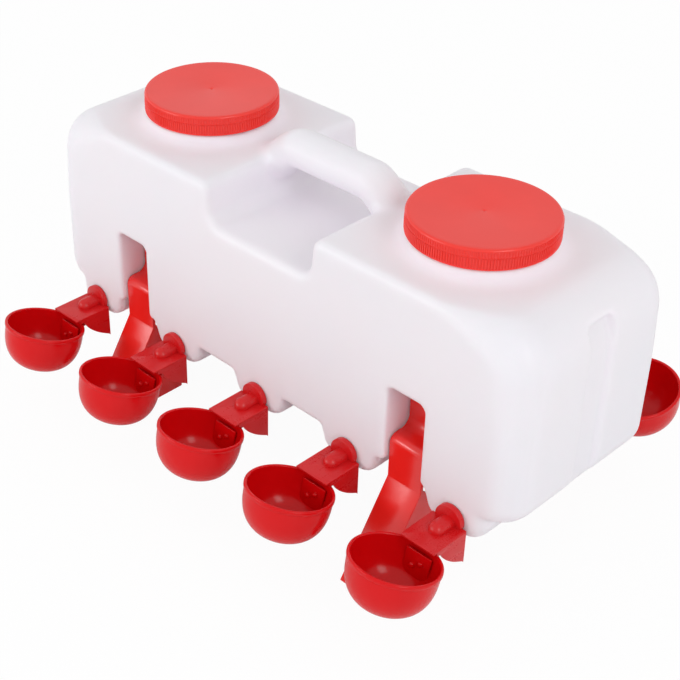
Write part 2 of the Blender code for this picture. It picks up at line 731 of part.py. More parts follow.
def bracket_mesh(cutters):
    """A cup's bracket, with the inlet's axis along +Y out of the tank, which ends at Y = 0."""
    back = SEAL_THICKNESS + 2 * GAP
    front = back + FLANGE_THICKNESS
    plate = PLATE_THICKNESS
    half = ROOF_WIDTH / 2
    low = bpy.data.collections.new("bracket_work")
    bpy.context.scene.collection.children.link(low)
    roof = box_mesh(
        "bracket_roof",
        (plate / 2 - half, back + 2 * STEP, ROOF_RISE - ROOF_THICKNESS),
        (half - plate / 2, ROOF_REACH - STEP, ROOF_RISE),
    )
    work = add_object("bracket_roof", roof, low)
    pieces = []
    for edge in (-1, 1):
        inner, outer = edge * (half - plate), edge * half
        pieces.append(
            prism_mesh("plate", bracket_plate_outline(), min(inner, outer), max(inner, outer), "X")
        )
    pieces.append(rod_mesh("flange", (0, back, 0), (0, front, 0), FLANGE_RADIUS, 16))
    nose = arc((0.0, 0.0), BOSS_RADIUS, 0, 90, 2)
    straight = BOSS_REACH - BOSS_RADIUS
    pin = [(0.0, BOSS_REACH)]
    pin += [(across, straight + out) for across, out in reversed(nose[:-1])]
    pin += [
        (BOSS_RADIUS, back + OVERCUT),
        (STEM_RADIUS, back + OVERCUT),
        (STEM_RADIUS, -STEM_REACH),
        (0.0, -STEM_REACH),
    ]
    boss = screw_mesh("boss", pin, 10)
    boss.transform(Matrix.Rotation(math.radians(-90), 4, "X"))
    pieces.append(boss)
    axis, tip = (0, NOZZLE_OUT, 0), (0, NOZZLE_OUT, -NOZZLE_END)
    pieces.append(rod_mesh("nozzle", axis, tip, NOZZLE_ROOT_RADIUS, 8, NOZZLE_RADIUS))
    for piece in pieces:
        boolean(work, add_cutter(piece.name, piece, cutters), "UNION")
    bore_end = NOZZLE_OUT + NOZZLE_BORE
    pieces = [
        rod_mesh("stem_bore", (0, -STEM_REACH - OVERCUT, 0), (0, bore_end, 0), STEM_BORE, 6),
        rod_mesh("nozzle_bore", axis, (0, NOZZLE_OUT, -NOZZLE_END - OVERCUT), NOZZLE_BORE, 6),
        rod_mesh(
            "trunnion_bore",
            (-half - OVERCUT, PIVOT_OUT, -PIVOT_DROP),
            (half + OVERCUT, PIVOT_OUT, -PIVOT_DROP),
            clearing(TRUNNION_RADIUS + GAP, 8),
            8,
        ),
    ]
    for piece in pieces:
        boolean(work, add_cutter(piece.name, piece, cutters), "DIFFERENCE")
    mesh = baked_mesh(work, "cup_bracket")
    bpy.data.objects.remove(work, do_unlink=True)
    bpy.data.collections.remove(low)
    smooth(mesh, 35)
    return mesh


def bowl_profile():
    """The bowl's wall as radius and height from its rim, down its outer side and up its inner side."""

    def belly(radius, depth, steps, top):
        points = []
        for k in range(steps + 1):
            angle = math.pi / 2 * k / steps
            across = radius * max(math.cos(angle), 0.0) ** (2 / BOWL_FULLNESS)
            down = depth * math.sin(angle) ** (2 / BOWL_FULLNESS)
            points.append((across, -top - down))
        points[-1] = (0.0, points[-1][1])
        return points

    lip = BOWL_RADIUS - BOWL_LIP / 2
    under = BOWL_LIP_HEIGHT
    outer = belly(BOWL_BODY_RADIUS, BOWL_DEPTH - under, 4, under)
    inner = belly(BOWL_BODY_RADIUS - BOWL_WALL, BOWL_DEPTH - under - BOWL_WALL, 3, under)
    return (
        [(lip, 0.0), (BOWL_RADIUS, -under * 0.4), (BOWL_RADIUS, -under * 0.8)]
        + outer
        + list(reversed(inner))
        + [(BOWL_RADIUS - BOWL_LIP, -under * 0.5), (lip, 0.0)]
    )


def bowl_mesh(cutters):
    """A bowl with its guard wall, lever and trunnions, in the same frame as the bracket."""
    tilt = Matrix.Rotation(BOWL_TILT, 4, "X")
    place = Matrix.Translation((0, BOWL_OUT, -BOWL_DROP)) @ tilt
    mesh = screw_mesh("bowl", bowl_profile(), BOWL_SIDES)
    mesh.transform(place)
    holder = bpy.data.objects.new("bowl_work", mesh)
    bpy.context.scene.collection.objects.link(holder)

    guard_y = GUARD_OUT - BOWL_OUT
    right = [
        (GUARD_HALF, -GUARD_BELOW_RIM),
        (GUARD_SHOULDER_HALF, -GUARD_SHOULDER_DROP),
        (GUARD_WAIST_HALF, -GUARD_WAIST_DROP),
        (GUARD_FOOT_HALF, -GUARD_FOOT_DROP),
    ]
    wall = right + [(-x, z) for x, z in reversed(right)]
    guard = prism_mesh(
        "guard", wall, guard_y - GUARD_THICKNESS / 2, guard_y + GUARD_THICKNESS / 2, "Y"
    )
    guard.transform(place)

    low = -PIVOT_DROP - LEVER_THICKNESS / 2
    lever = box_mesh(
        "lever", (-LEVER_HALF, LEVER_BACK, low), (LEVER_HALF, LEVER_FRONT, low + LEVER_THICKNESS)
    )
    pieces = [guard, lever]
    inner_face = ROOF_WIDTH / 2 - PLATE_THICKNESS
    outer_ear = inner_face - GAP * 2
    for edge in (-1, 1):
        start, end = edge * (LEVER_HALF - OVERCUT), edge * outer_ear
        pieces.append(
            rod_mesh(
                "ear", (start, PIVOT_OUT, -PIVOT_DROP), (end, PIVOT_OUT, -PIVOT_DROP), EAR_RADIUS, 8
            )
        )
        pieces.append(
            rod_mesh(
                "trunnion",
                (end - edge * OVERCUT, PIVOT_OUT, -PIVOT_DROP),
                (edge * (ROOF_WIDTH / 2 - GAP), PIVOT_OUT, -PIVOT_DROP),
                TRUNNION_RADIUS,
                8,
            )
        )
    for piece in pieces:
        boolean(holder, add_cutter(piece.name, piece, cutters), "UNION")
    mesh = baked_mesh(holder, "cup_bowl")
    bpy.data.objects.remove(holder, do_unlink=True)
    smooth(mesh, 35)
    return mesh


def ring_mesh(name, inner, outer, start, end, sides):
    """A flat ring about the inlet's axis."""
    profile = [(inner, end), (outer, end), (outer, start), (inner, start), (inner, end)]
    mesh = screw_mesh(name, profile, sides)
    mesh.transform(Matrix.Rotation(math.radians(-90), 4, "X"))
    smooth(mesh)
    return mesh


def nut_mesh(cutters):
    """The six sided lock nut that pulls a bracket against the tank from inside."""
    inside = -WALL - GAP
    body = rod_mesh("lock_nut", (0, inside - NUT_THICKNESS, 0), (0, inside, 0), NUT_RADIUS, 6)
    holder = bpy.data.objects.new("nut_work", body)
    bpy.context.scene.collection.objects.link(holder)
    hole = rod_mesh(
        "nut_hole",
        (0, inside - NUT_THICKNESS - OVERCUT, 0),
        (0, inside + OVERCUT, 0),
        clearing(STEM_RADIUS + GAP, 12),
        12,
    )
    boolean(holder, add_cutter("nut_hole", hole, cutters), "DIFFERENCE")
    mesh = baked_mesh(holder, "lock_nut")
    bpy.data.objects.remove(holder, do_unlink=True)
    return mesh


def pad_mesh():
    """The rubber pad on the lever, which shuts the nozzle as the bowl goes down."""
    low = -PIVOT_DROP + LEVER_THICKNESS / 2 + GAP
    return rod_mesh(
        "valve_pad", (0, NOZZLE_OUT, low), (0, NOZZLE_OUT, low + PAD_THICKNESS), PAD_RADIUS, 10
    )


def make_cups(parts, cutters):
    bracket_red = new_material("bracket_red_plastic", DEEP_RED, 0.32)
    bowl_red = new_material("bowl_red_plastic", DEEP_RED, 0.24)
    black = new_material("black_rubber", BLACK, 0.6)
    stock = (
        ("cup_bracket", bracket_mesh(cutters), bracket_red),
        ("cup_bowl", bowl_mesh(cutters), bowl_red),
        (
            "inlet_seal",
            ring_mesh(
                "inlet_seal",
                clearing(STEM_RADIUS + GAP, 12),
                SEAL_RADIUS,
                GAP,
                GAP + SEAL_THICKNESS,
                12,
            ),
            black,
        ),
        ("lock_nut", nut_mesh(cutters), new_material("nut_grey_plastic", PALE_GREY, 0.5)),
        ("valve_pad", pad_mesh(), black),
    )
    moving = ("cup_bowl", "valve_pad")
    for side, tag in ((-1, "front"), (1, "rear")):
        for number, x in enumerate(CUP_X, 1):
            face = Vector((x, side * TANK_WIDTH / 2, INLET_Z))
            turn = Matrix.Rotation(math.pi if side < 0 else 0.0, 4, "Z")
            for kind, mesh, material in stock:
                copy = mesh.copy()
                origin = Vector((0, PIVOT_OUT, -PIVOT_DROP)) if kind in moving else Vector()
                copy.transform(turn @ Matrix.Translation(-origin))
                obj = add_object(f"{kind}_{tag}_{number}", copy, parts, material)
                obj.location = face + turn @ origin


def main():
    clear_scene()
    parts = new_collection("poultry_drinker")
    cutters = new_collection("cutters", hidden=True)
    make_tank(parts, cutters, new_material("tank_milky_plastic", MILKY, 0.42))
    cap_red = new_material("cap_red_plastic", CAP_RED, 0.30)
    liner_grey = new_material("liner_grey_foam", PALE_GREY, 0.6)
    stand_red = new_material("stand_red_plastic", DEEP_RED, 0.28)
    for side, tag in ((-1, "left"), (1, "right")):
        make_cap(side, tag, parts, cap_red, liner_grey)
        make_stand(side, tag, parts, cutters, stand_red)
    make_cups(parts, cutters)


main()
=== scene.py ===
"""The looks of the automatic poultry drinker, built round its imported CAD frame.

The milky tank is one smooth skin, melted together from the tank's body, its handle and its
shoulders. Caps, stands, brackets and bowls are finer copies of the CAD pieces. What repeats
round a cap or a neck, the grip ribs and the threads, is made by Geometry Nodes."""

import math

import bmesh
import bpy
from mathutils import Matrix, Vector


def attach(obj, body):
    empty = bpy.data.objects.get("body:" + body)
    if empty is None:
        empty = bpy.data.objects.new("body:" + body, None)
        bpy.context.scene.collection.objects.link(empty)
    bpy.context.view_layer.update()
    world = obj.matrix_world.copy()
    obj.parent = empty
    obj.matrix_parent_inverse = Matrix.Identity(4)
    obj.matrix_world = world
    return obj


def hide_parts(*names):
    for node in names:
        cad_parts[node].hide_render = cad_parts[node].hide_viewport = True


# Measures in metres, most of them shared with the CAD part
TANK_LENGTH = 0.504
TANK_WIDTH = 0.170
WALL = 0.0025
BOTTOM_Z = 0.090
TOWER_TOP_Z = 0.247
RECESS_FLOOR_Z = 0.2125
RECESS_HALF = 0.055
RECESS_DRAFT = 0.0015
RECESS_FILLET = 0.014
RECESS_LIP_RADIUS = 0.008
END_TOP_RADIUS = 0.036
END_BOTTOM_RADIUS = 0.015
PLAN_RADIUS = 0.024
EDGE_RADIUS = 0.006
FLAT_HALF = 0.217
CORNER_ROLL = 0.030
TOP_ROLL_FROM_X = 0.172
SIDE_ROLL_FROM_Z = 0.160
ROLL_STATIONS = 8
LEAST_ROUNDING = 0.0006
STRAIGHT = 1e-6
ON_AXIS = 1e-6
CUP_X = (-0.2025, -0.0985, 0.0, 0.0985, 0.2025)
SUMP_HALF = 0.0255
SUMP_DEPTH = 0.023
SUMP_DRAFT = 0.003
SUMP_RADIUS = 0.016
SUMP_ROOT_RADIUS = 0.0012
SLOT_X = 0.152
SLOT_WIDTH = 0.035
SLOT_TOP_Z = 0.1585
SLOT_RADIUS = 0.005
SLOT_EDGE_RADIUS = 0.002
SLOT_MOUTH_RADIUS = 0.003
GROOVE_HALF = 0.014
GROOVE_DEPTH = 0.004
GROOVE_TOP_Z = 0.229
GROOVE_LEAN = 0.008
GROOVE_BEND_DROP = 0.0215
GROOVE_OVERCUT = 0.010
HANDLE_HALF_WIDTH = 0.017
HANDLE_HALF_HEIGHT = 0.0155
HANDLE_Z = 0.2555
HANDLE_LEVEL_HALF = 0.036
HANDLE_END_X = 0.079
HANDLE_DROP = 0.028
SLOPE_STEP = 0.001
CAP_X = 0.142
CAP_TOP_Z = 0.272
CAP_RADIUS = 0.055
CAP_SKIRT = 0.0162
CAP_WALL = 0.0022
NECK_RADIUS = 0.0512
NECK_BORE = 0.0475
NECK_RIM_Z = 0.2677
SHOULDER_RADIUS = 0.064
SHOULDER_TOP_RADIUS = 0.0545
SHOULDER_GAP = 0.0003
SHOULDER_EDGE = ((-0.0006, 0.0), (0.0003, -0.0007))
SHOULDER_HOLLOW = 0.001
SHOULDER_HOLLOW_UP = 0.003
SHOULDER_TOE_UP = 0.0002
SHOULDER_SINK = 0.003
MOUTH_DEPTH = 0.008
STAND_WIDTH = 0.0325
STAND_THICKNESS = 0.003
STAND_TOP_Z = 0.15503
STAND_UPRIGHT_Y = 0.0575
STAND_BEND_RADIUS = 0.014
STAND_STEP_Z = 0.1115
STAND_STEP_RADIUS = 0.010
STAND_FACE_Y = 0.078
STAND_FOOT_Y = 0.128
STAND_SINK = 0.003
INLET_Z = 0.082

# Where a leg's strap bends out from its upright face, as Y beyond the face and Z
LEG_BEND = ((0.0, 0.0755), (0.0003, 0.0746), (0.0010, 0.0733))

# The block of ground that cuts the feet level
GROUND = ((-0.05, -0.2, -0.05), (0.05, 0.2, 0.0))

# The webs that stiffen a leg, and their inner edge as Y and Z
WEB_THICKNESS = 0.003
WEB_TOP_Z = 0.078
WEB_BEND_Z = 0.075
WEB_EDGE = (
    (0.077, 0.078),
    (0.066, 0.068),
    (0.058, 0.061),
    (0.0535, 0.055),
    (0.0508, 0.047),
    (0.050, 0.040),
)

# Caps: the dimple as radius and depth below the top, the skirt's outside as how far it stands
# beyond the cap's radius and its height over the skirt's end, ribs as radius, height and middle
CAP_DIMPLE = ((0.0, 0.0010), (0.0006, 0.0009), (0.0014, 0.0003), (0.0022, 0.0002))
CAP_WELL_DEPTH = 0.0002
CAP_WELL_RADIUS = CAP_RADIUS - 0.006
CAP_RING_RADIUS = CAP_RADIUS - 0.004
CAP_EDGE_RADIUS = 0.0018
CAP_SHADOW_LINE = 0.0026
CAP_CORNER = 0.0006
SKIRT_SIDE = (
    (-0.0003, 0.0098),
    (0.0001, 0.0095),
    (0.0001, 0.0093),
    (-0.0004, 0.0090),
    (-0.0003, 0.0014),
    (0.0001, 0.0012),
    (0.0002, 0.0003),
    (-0.0001, 0.0001),
)
SKIRT_LEAD_IN = 0.0003
RIB_COUNT = 168
RIB_INSET = 0.0002
RIB_ROWS = ((0.00065, 0.0078, 0.0052), (0.0005, 0.0042, 0.0122))

# Threads, and the neck that carries the outer one
THREAD_TURNS = 1.4
THREAD_RISE = 0.0084
THREAD_SECTION = 0.0009
THREAD_INSET = 0.0001
CAP_THREAD_UP = 0.0020
NECK_THREAD_DOWN = 0.0006
NECK_ROOT = 0.004
NECK_INNER_EDGE = 0.0006
NECK_OUTER_EDGE = 0.0008
NECK_FLARE = 0.0006
NECK_FLARE_DROP = 0.0018

# Cup bracket: Y out from the tank's face, Z up from the inlet's axis
PLATE_EDGE = (
    (0.0029, -0.0330),
    (0.0141, -0.0264),
    (0.0223, -0.0197),
    (0.0262, -0.0152),
    (0.0282, -0.0118),
    (0.0300, -0.0096),
    (0.0340, -0.0090),
)
PLATE_BACK = 0.0025
PLATE_DEPTH = 0.034
PLATE_REACH = 0.034
PLATE_THICKNESS = 0.002
BRACKET_HALF = 0.0155
ROOF_TOP = -0.0046
ROOF_THICKNESS = 0.0013
ROOF_REACH = 0.038
FLANGE_BACK = 0.0004
FLANGE_FRONT = 0.0051
FLANGE_RADIUS = 0.0118
FLANGE_Z = -0.0021
BOSS_Z = -0.0042
BOSS_TIP = 0.023
BOSS_RADIUS = 0.0065
STEM_RADIUS = 0.005
STEM_REACH = 0.012
STEM_BORE = 0.0025
NOZZLE_OUT = 0.0115
NOZZLE_DROP = 0.0112
NOZZLE_ROOT = 0.0052
NOZZLE_RADIUS = 0.0035
NOZZLE_BORE = 0.0012
PIVOT_OUT = 0.019
PIVOT_DROP = 0.016
PIVOT_HOLE = 0.0026
TRUNNION_SKIN = 0.0003
SHELL_OVERLAP = 0.001
BRACKET_SHARP = 34
FLAT_FACE_AREA = 6e-6

# Bowl, in its own tilted frame: Y away from the tank, Z up from the rim's plane
BOWL_OUT = 0.060
BOWL_DROP = 0.0035
BOWL_TILT = math.radians(14.5)
LIP_REACH = 0.0344
LIP_RADIUS = 0.0013
LIP_FOOT = ((0.0344, -0.0030), (0.0340, -0.0036))
BELLY_POWER = 2 / 2.7
GUARD_BACK = 0.0285
GUARD_THICKNESS = 0.0016
GUARD_EDGE = ((0.0115, -0.005), (0.0115, -0.0212), (0.0075, -0.0252))
STUDS = ((0.0035, -0.0165), (-0.0035, -0.0125))
STUD_RADIUS = 0.0022
STUD_RISE = 0.0006
STUD_SINK = 0.0003

# Valve lever, ears and pins, in the bracket's frame
LEVER_HALF = 0.0095
LEVER_FROM = 0.0065
LEVER_TO = 0.0299
LEVER_THICKNESS = 0.0022
EAR_FROM = 0.0085
EAR_TO = 0.0129
EAR_RADIUS = 0.0042
EAR_EDGE = 0.0004
PIN_FROM = 0.0120
PIN_TO = 0.0152
PIN_RADIUS = 0.0022

# Rounded edges of the mouldings
SOFT_EDGE = 0.0005
FINE_EDGE = 0.0003

# The tank's skin: its grain, and where it is smoothed, each pair from none to full
SKIN_VOXEL = 0.0022
SKIN_SHARP = 62
MELT_Z = (0.226, 0.238)
HANDLE_MELT_Y = (0.034, 0.024)
HANDLE_MELT_X = (0.040, 0.052)
HANDLE_MELT_END_X = (0.098, 0.088)
SHOULDER_MELT_IN = (0.0555, 0.060)
SHOULDER_MELT_OUT = (0.073, 0.067)
SHOULDER_MELT = 0.7
GROOVE_MELT_X = (0.226, 0.236)
GROOVE_MELT_Y = (0.024, 0.020)
GROOVE_MELT = 0.06

# Turns a piece drawn upright so that its top points out of the tank, along +Y
LAID_OUT = Matrix.Rotation(math.radians(-90), 4, "X")

# Sockets of a Mix node that mixes colours
MIX_FIRST, MIX_SECOND, MIX_RESULT = 6, 7, 2


def new_object(name, data):
    """An object in the scene that holds a mesh, a lamp or a camera."""
    obj = bpy.data.objects.new(name, data)
    bpy.context.scene.collection.objects.link(obj)
    return obj


def mesh_from(build, name):
    """A mesh made by a function that fills a bmesh."""
    shape = bmesh.new()
    build(shape)
    bmesh.ops.recalc_face_normals(shape, faces=shape.faces)
    mesh = bpy.data.meshes.new(name)
    shape.to_mesh(mesh)
    shape.free()
    return mesh


def bake(obj):
    """The object's evaluated mesh in place of its own, with no modifiers left."""
    bpy.context.view_layer.update()
    graph = bpy.context.evaluated_depsgraph_get()
    mesh = bpy.data.meshes.new_from_object(obj.evaluated_get(graph))
    mesh.transform(obj.matrix_world)
    obj.modifiers.clear()
    obj.matrix_world = Matrix.Identity(4)
    obj.data = mesh
    return obj


def drop(obj):
    """Takes a helper object out of the scene."""
    bpy.data.objects.remove(obj, do_unlink=True)


def joined(name, meshes):
    """One mesh that holds several, each a closed shell of its own."""
    shape = bmesh.new()
    for mesh in meshes:
        shape.from_mesh(mesh)
    mesh = bpy.data.meshes.new(name)
    shape.to_mesh(mesh)
    shape.free()
    return mesh


def combine(base, others, operation="UNION"):
    """A mesh joined with, or cut by, other meshes."""
    holder = new_object("work", base)
    spares = []
    for mesh in others:
        other = new_object("work_other", mesh)
        spares.append(other)
        modifier = holder.modifiers.new("cut", "BOOLEAN")
        modifier.operation = operation
        modifier.solver = "EXACT"
        modifier.object = other
    mesh = bake(holder).data
    for obj in [holder] + spares:
        drop(obj)
    return mesh


def smooth(mesh, angle):
    """Shades a mesh smooth, but for edges that turn by more than an angle in degrees."""
    mesh.shade_smooth()
    mesh.set_sharp_from_angle(angle=math.radians(angle))


def bevelled(mesh, width, angle=35):
    """A mesh with the edges rounded that turn by more than an angle, shaded smooth."""
    holder = new_object("work", mesh)
    bevel = holder.modifiers.new("bevel", "BEVEL")
    bevel.width = width
    bevel.segments = 2
    bevel.limit_method = "ANGLE"
    bevel.angle_limit = math.radians(angle)
    mesh = bake(holder).data
    drop(holder)
    smooth(mesh, 50)
    return mesh


def place_piece(obj, offset, body, nodes):
    """Moves a piece's points into place, leaves its object at the origin and ties it to a body."""
    obj.data.transform(Matrix.Translation(offset))
    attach(obj, body)
    if nodes:
        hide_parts(*nodes)


def moved(mesh, matrix):
    """A copy of a mesh with its points moved."""
    copy = mesh.copy()
    copy.transform(matrix)
    return copy


def box_mesh(low, high):
    """A box between two opposite corners."""

    def build(shape):
        made = bmesh.ops.create_cube(shape, size=1.0)
        size = [b - a for a, b in zip(low, high)]
        middle = [(a + b) / 2 for a, b in zip(low, high)]
        place = Matrix.Translation(middle) @ Matrix.Diagonal((*size, 1.0))
        bmesh.ops.transform(shape, matrix=place, verts=made["verts"])

    return mesh_from(build, "box")


def rod_mesh(start, end, radius, sides, tip_radius=None):
    """A round rod from start to end, tapered where its tip has a radius of its own."""

    def build(shape):
        a, b = Vector(start), Vector(end)
        made = bmesh.ops.create_cone(
            shape,
            cap_ends=True,
            segments=sides,
            radius1=radius,
            radius2=radius if tip_radius is None else tip_radius,
            depth=(b - a).length,
        )
        turn = (b - a).to_track_quat("Z", "Y").to_matrix().to_4x4()
        place = Matrix.Translation((a + b) / 2) @ turn
        bmesh.ops.transform(shape, matrix=place, verts=made["verts"])

    return mesh_from(build, "rod")


def prism_mesh(outline, low, high, across):
    """A flat outline pushed along X, or along Y, from low to high."""

    def build(shape):
        lift = (lambda d, a, b: (d, a, b)) if across == "X" else (lambda d, a, b: (a, d, b))
        face = shape.faces.new([shape.verts.new(lift(low, a, b)) for a, b in outline])
        pushed = bmesh.ops.extrude_face_region(shape, geom=[face])
        corners = [item for item in pushed["geom"] if isinstance(item, bmesh.types.BMVert)]
        bmesh.ops.translate(shape, verts=corners, vec=Vector(lift(high - low, 0, 0)))

    return mesh_from(build, "prism")


def lathe_mesh(profile, sides):
    """A profile of radius and height turned about Z."""

    def build(shape):
        turns = [2 * math.pi * k / sides for k in range(sides)]
        rings = []
        for radius, height in profile:
            places = [(radius * math.cos(a), radius * math.sin(a), height) for a in turns]
            if radius < ON_AXIS:
                places = [(0, 0, height)]
            rings.append([shape.verts.new(place) for place in places])
        for near, far in zip(rings, rings[1:]):
            for i in range(sides):
                j = (i + 1) % sides
                corners = [near[i % len(near)], near[j % len(near)]]
                corners += [far[j % len(far)], far[i % len(far)]]
                unique = list(dict.fromkeys(corners))
                if len(unique) > 2:
                    shape.faces.new(unique)

    return mesh_from(build, "lathe")


def arc(centre, radius, start, end, steps):
    """Points on an arc, angles in degrees."""
    angles = [math.radians(start + (end - start) * i / steps) for i in range(steps + 1)]
    return [(centre[0] + radius * math.cos(a), centre[1] + radius * math.sin(a)) for a in angles]


# The tank's skin


def tank_corners():
    """Corners of the tank's front outline: X, Z, corner radius, and how far the edge rounds in."""
    slot_low = SLOT_X - SLOT_WIDTH / 2
    slot_high = SLOT_X + SLOT_WIDTH / 2
    end = TANK_LENGTH / 2
    top_step = (end - END_TOP_RADIUS - TOP_ROLL_FROM_X) / ROLL_STATIONS
    side_step = (TOWER_TOP_Z - END_TOP_RADIUS - SIDE_ROLL_FROM_Z) / ROLL_STATIONS
    stations_back = range(ROLL_STATIONS - 1, -1, -1)

    def sump(centre, both=True, outer_edge=SLOT_EDGE_RADIUS):
        foot, root = SUMP_HALF, SUMP_HALF + SUMP_DRAFT
        low = BOTTOM_Z - SUMP_DEPTH
        right = [
            (centre + foot, low, SUMP_RADIUS, EDGE_RADIUS),
            (centre + root, BOTTOM_Z, SUMP_ROOT_RADIUS, outer_edge),
        ]
        left = [
            (centre - root, BOTTOM_Z, SUMP_ROOT_RADIUS, SLOT_EDGE_RADIUS),
            (centre - foot, low, SUMP_RADIUS, EDGE_RADIUS),
        ]
        return left + right if both else right

    half = (
        sump(0.0, both=False)
        + sump(CUP_X[3])
        + [
            (slot_low, BOTTOM_Z, SLOT_MOUTH_RADIUS, SLOT_EDGE_RADIUS),
            (slot_low, SLOT_TOP_Z, SLOT_RADIUS, SLOT_EDGE_RADIUS),
            (slot_high, SLOT_TOP_Z, SLOT_RADIUS, SLOT_EDGE_RADIUS),
            (slot_high, BOTTOM_Z, SLOT_MOUTH_RADIUS, SLOT_EDGE_RADIUS),
        ]
        + sump(CUP_X[4], outer_edge=EDGE_RADIUS)
        + [(end, BOTTOM_Z, END_BOTTOM_RADIUS, EDGE_RADIUS)]
        + [(end, SIDE_ROLL_FROM_Z + k * side_step, 0.0, EDGE_RADIUS) for k in range(ROLL_STATIONS)]
        + [(end, TOWER_TOP_Z, END_TOP_RADIUS, EDGE_RADIUS)]
        + [(TOP_ROLL_FROM_X + k * top_step, TOWER_TOP_Z, 0.0, EDGE_RADIUS) for k in stations_back]
        + [
            (RECESS_HALF + RECESS_DRAFT, TOWER_TOP_Z, RECESS_LIP_RADIUS, EDGE_RADIUS),
            (RECESS_HALF - RECESS_DRAFT, RECESS_FLOOR_Z, RECESS_FILLET, EDGE_RADIUS),
        ]
    )
    return half + [(-x, z, *rest) for x, z, *rest in reversed(half)]


def turn_of(before, corner, after):
    """Unit directions in and out of a corner, and the turn between them, positive to the left."""
    into = (Vector(corner[:2]) - Vector(before[:2])).normalized()
    out = (Vector(after[:2]) - Vector(corner[:2])).normalized()
    return into, out, math.atan2(into.x * out.y - into.y * out.x, into.dot(out))


def moved_in(corners, distance):
    """The same outline with every side moved in by a distance, and radii that follow."""
    result = []
    for i, corner in enumerate(corners):
        into, out, turn = turn_of(corners[i - 1], corner, corners[(i + 1) % len(corners)])
        left_in, left_out = Vector((-into.y, into.x)), Vector((-out.y, out.x))
        shift = (left_in + left_out) / (1 + left_in.dot(left_out)) * distance
        radius = corner[2] - distance if turn > 0 else corner[2] + distance
        place = Vector(corner[:2]) + shift
        rounding = max(corner[3] - distance, LEAST_ROUNDING)
        result.append((place.x, place.y, max(radius, 2 * LEAST_ROUNDING), rounding))
    return result


def rounded_outline(corners, tolerance):
    """Points round the outline, each with its outward normal and how far its edge rounds in."""
    points = []
    for i, corner in enumerate(corners):
        into, out, turn = turn_of(corners[i - 1], corner, corners[(i + 1) % len(corners)])
        x, z, radius, rounding = corner
        if abs(turn) < STRAIGHT:
            points.append((Vector((x, z)), Vector((into.y, -into.x)), rounding))
            continue
        widest = 2 * math.acos(1 - tolerance / max(radius, tolerance))
        steps = math.ceil(abs(turn) / widest)
        side = 1 if turn > 0 else -1
        start = Vector((x, z)) - into * radius * math.tan(abs(turn) / 2)
        centre = start + Vector((-into.y, into.x)) * radius * side
        for k in range(steps + 1):
            angle = math.atan2(-into.x, into.y) + turn * k / steps
            normal = Vector((math.cos(angle), math.sin(angle)))
            points.append((centre + normal * radius * side, normal, rounding))
    return points


def eased(value, none, full):
    """0 up to none, 1 from full on, and a smooth change between, whichever is the higher."""
    share = min(1.0, max(0.0, (value - none) / (full - none)))
    return share * share * (3 - 2 * share)


def end_roll(x, z, rounding, inset):
    """The roll of the front edge on the upper part of an end, widest at the top corner."""
    along_top = eased(x, TOP_ROLL_FROM_X, TANK_LENGTH / 2 - END_TOP_RADIUS / 2)
    up_side = eased(z, SIDE_ROLL_FROM_Z, TOWER_TOP_Z - END_TOP_RADIUS / 2)
    widest = PLAN_RADIUS - inset + (CORNER_ROLL - PLAN_RADIUS) * up_side
    return rounding + (widest - rounding) * along_top


def loft_tank(shape, inset, tolerance, rings):
    """Walls round the front outline, whose front and rear edges roll in to two flat faces.

    Edges round by their own small radius. The tank's ends draw in by the plan radius instead:
    below, the strip beyond the flat faces is squeezed with them, and above, the roll grows
    along the tower's top so that the corner is round every way."""
    end = TANK_LENGTH / 2 - inset
    plan = PLAN_RADIUS - inset
    squeezed = end - FLAT_HALF
    outline = rounded_outline(moved_in(tank_corners(), inset), tolerance)
    loops = []
    for side in (-1, 1):
        for k in range(rings + 1):
            angle = math.pi / 2 * k / rings
            turned_in = 1 - math.cos(angle)
            loop = []
            for point, normal, rounding in outline:
                sign = math.copysign(1, point.x)
                beyond = max(0.0, abs(point.x) - FLAT_HALF)
                on_end = normal.y > -STRAIGHT and normal.x * sign > -STRAIGHT
                if on_end and point.y > SIDE_ROLL_FROM_Z - STRAIGHT:
                    depth = end_roll(abs(point.x), point.y, rounding, inset)
                    pull = normal * depth * turned_in
                else:
                    endwise = eased(beyond, 0.0, squeezed)
                    depth = rounding + (plan - rounding) * endwise
                    sideways = normal.x * rounding * (1 - min(1.0, beyond / squeezed))
                    drawn = sign * beyond * plan / squeezed + sideways
                    pull = Vector((drawn, normal.y * rounding)) * turned_in
                y = side * (TANK_WIDTH / 2 - inset - depth * (1 - math.sin(angle)))
                loop.append(shape.verts.new((point.x - pull.x, y, point.y - pull.y)))
            loops.append(loop)
    order = list(reversed(loops[: rings + 1])) + loops[rings + 1 :]
    for near, far in zip(order, order[1:]):
        for i in range(len(near)):
            j = (i + 1) % len(near)
            shape.faces.new((near[i], near[j], far[j], far[i]))
    shape.faces.new(order[0])
    shape.faces.new(order[-1])


def groove_mesh(side, margin):
    """What is cut from a tank's end to leave its shallow upright groove, with a margin round it."""
    end = TANK_LENGTH / 2
    half = GROOVE_HALF + margin
    floor = end - GROOVE_DEPTH - margin
    low = BOTTOM_Z - SUMP_DEPTH
    outline = [
        (floor, low),
        (end + GROOVE_OVERCUT, low),
        (end + GROOVE_OVERCUT, GROOVE_TOP_Z + margin),
        (floor - GROOVE_LEAN, GROOVE_TOP_Z + margin),
        (floor, GROOVE_TOP_Z - GROOVE_BEND_DROP),
    ]
    return prism_mesh([(side * x, z) for x, z in outline], -half, half, "Y")


def tank_solid(inset, tolerance, rings):
    """The tank's body less its end grooves, or the space inside it when moved in by an inset."""
    body = mesh_from(lambda shape: loft_tank(shape, inset, tolerance, rings), "tank")
    return combine(body, [groove_mesh(side, inset) for side in (-1, 1)], "DIFFERENCE")


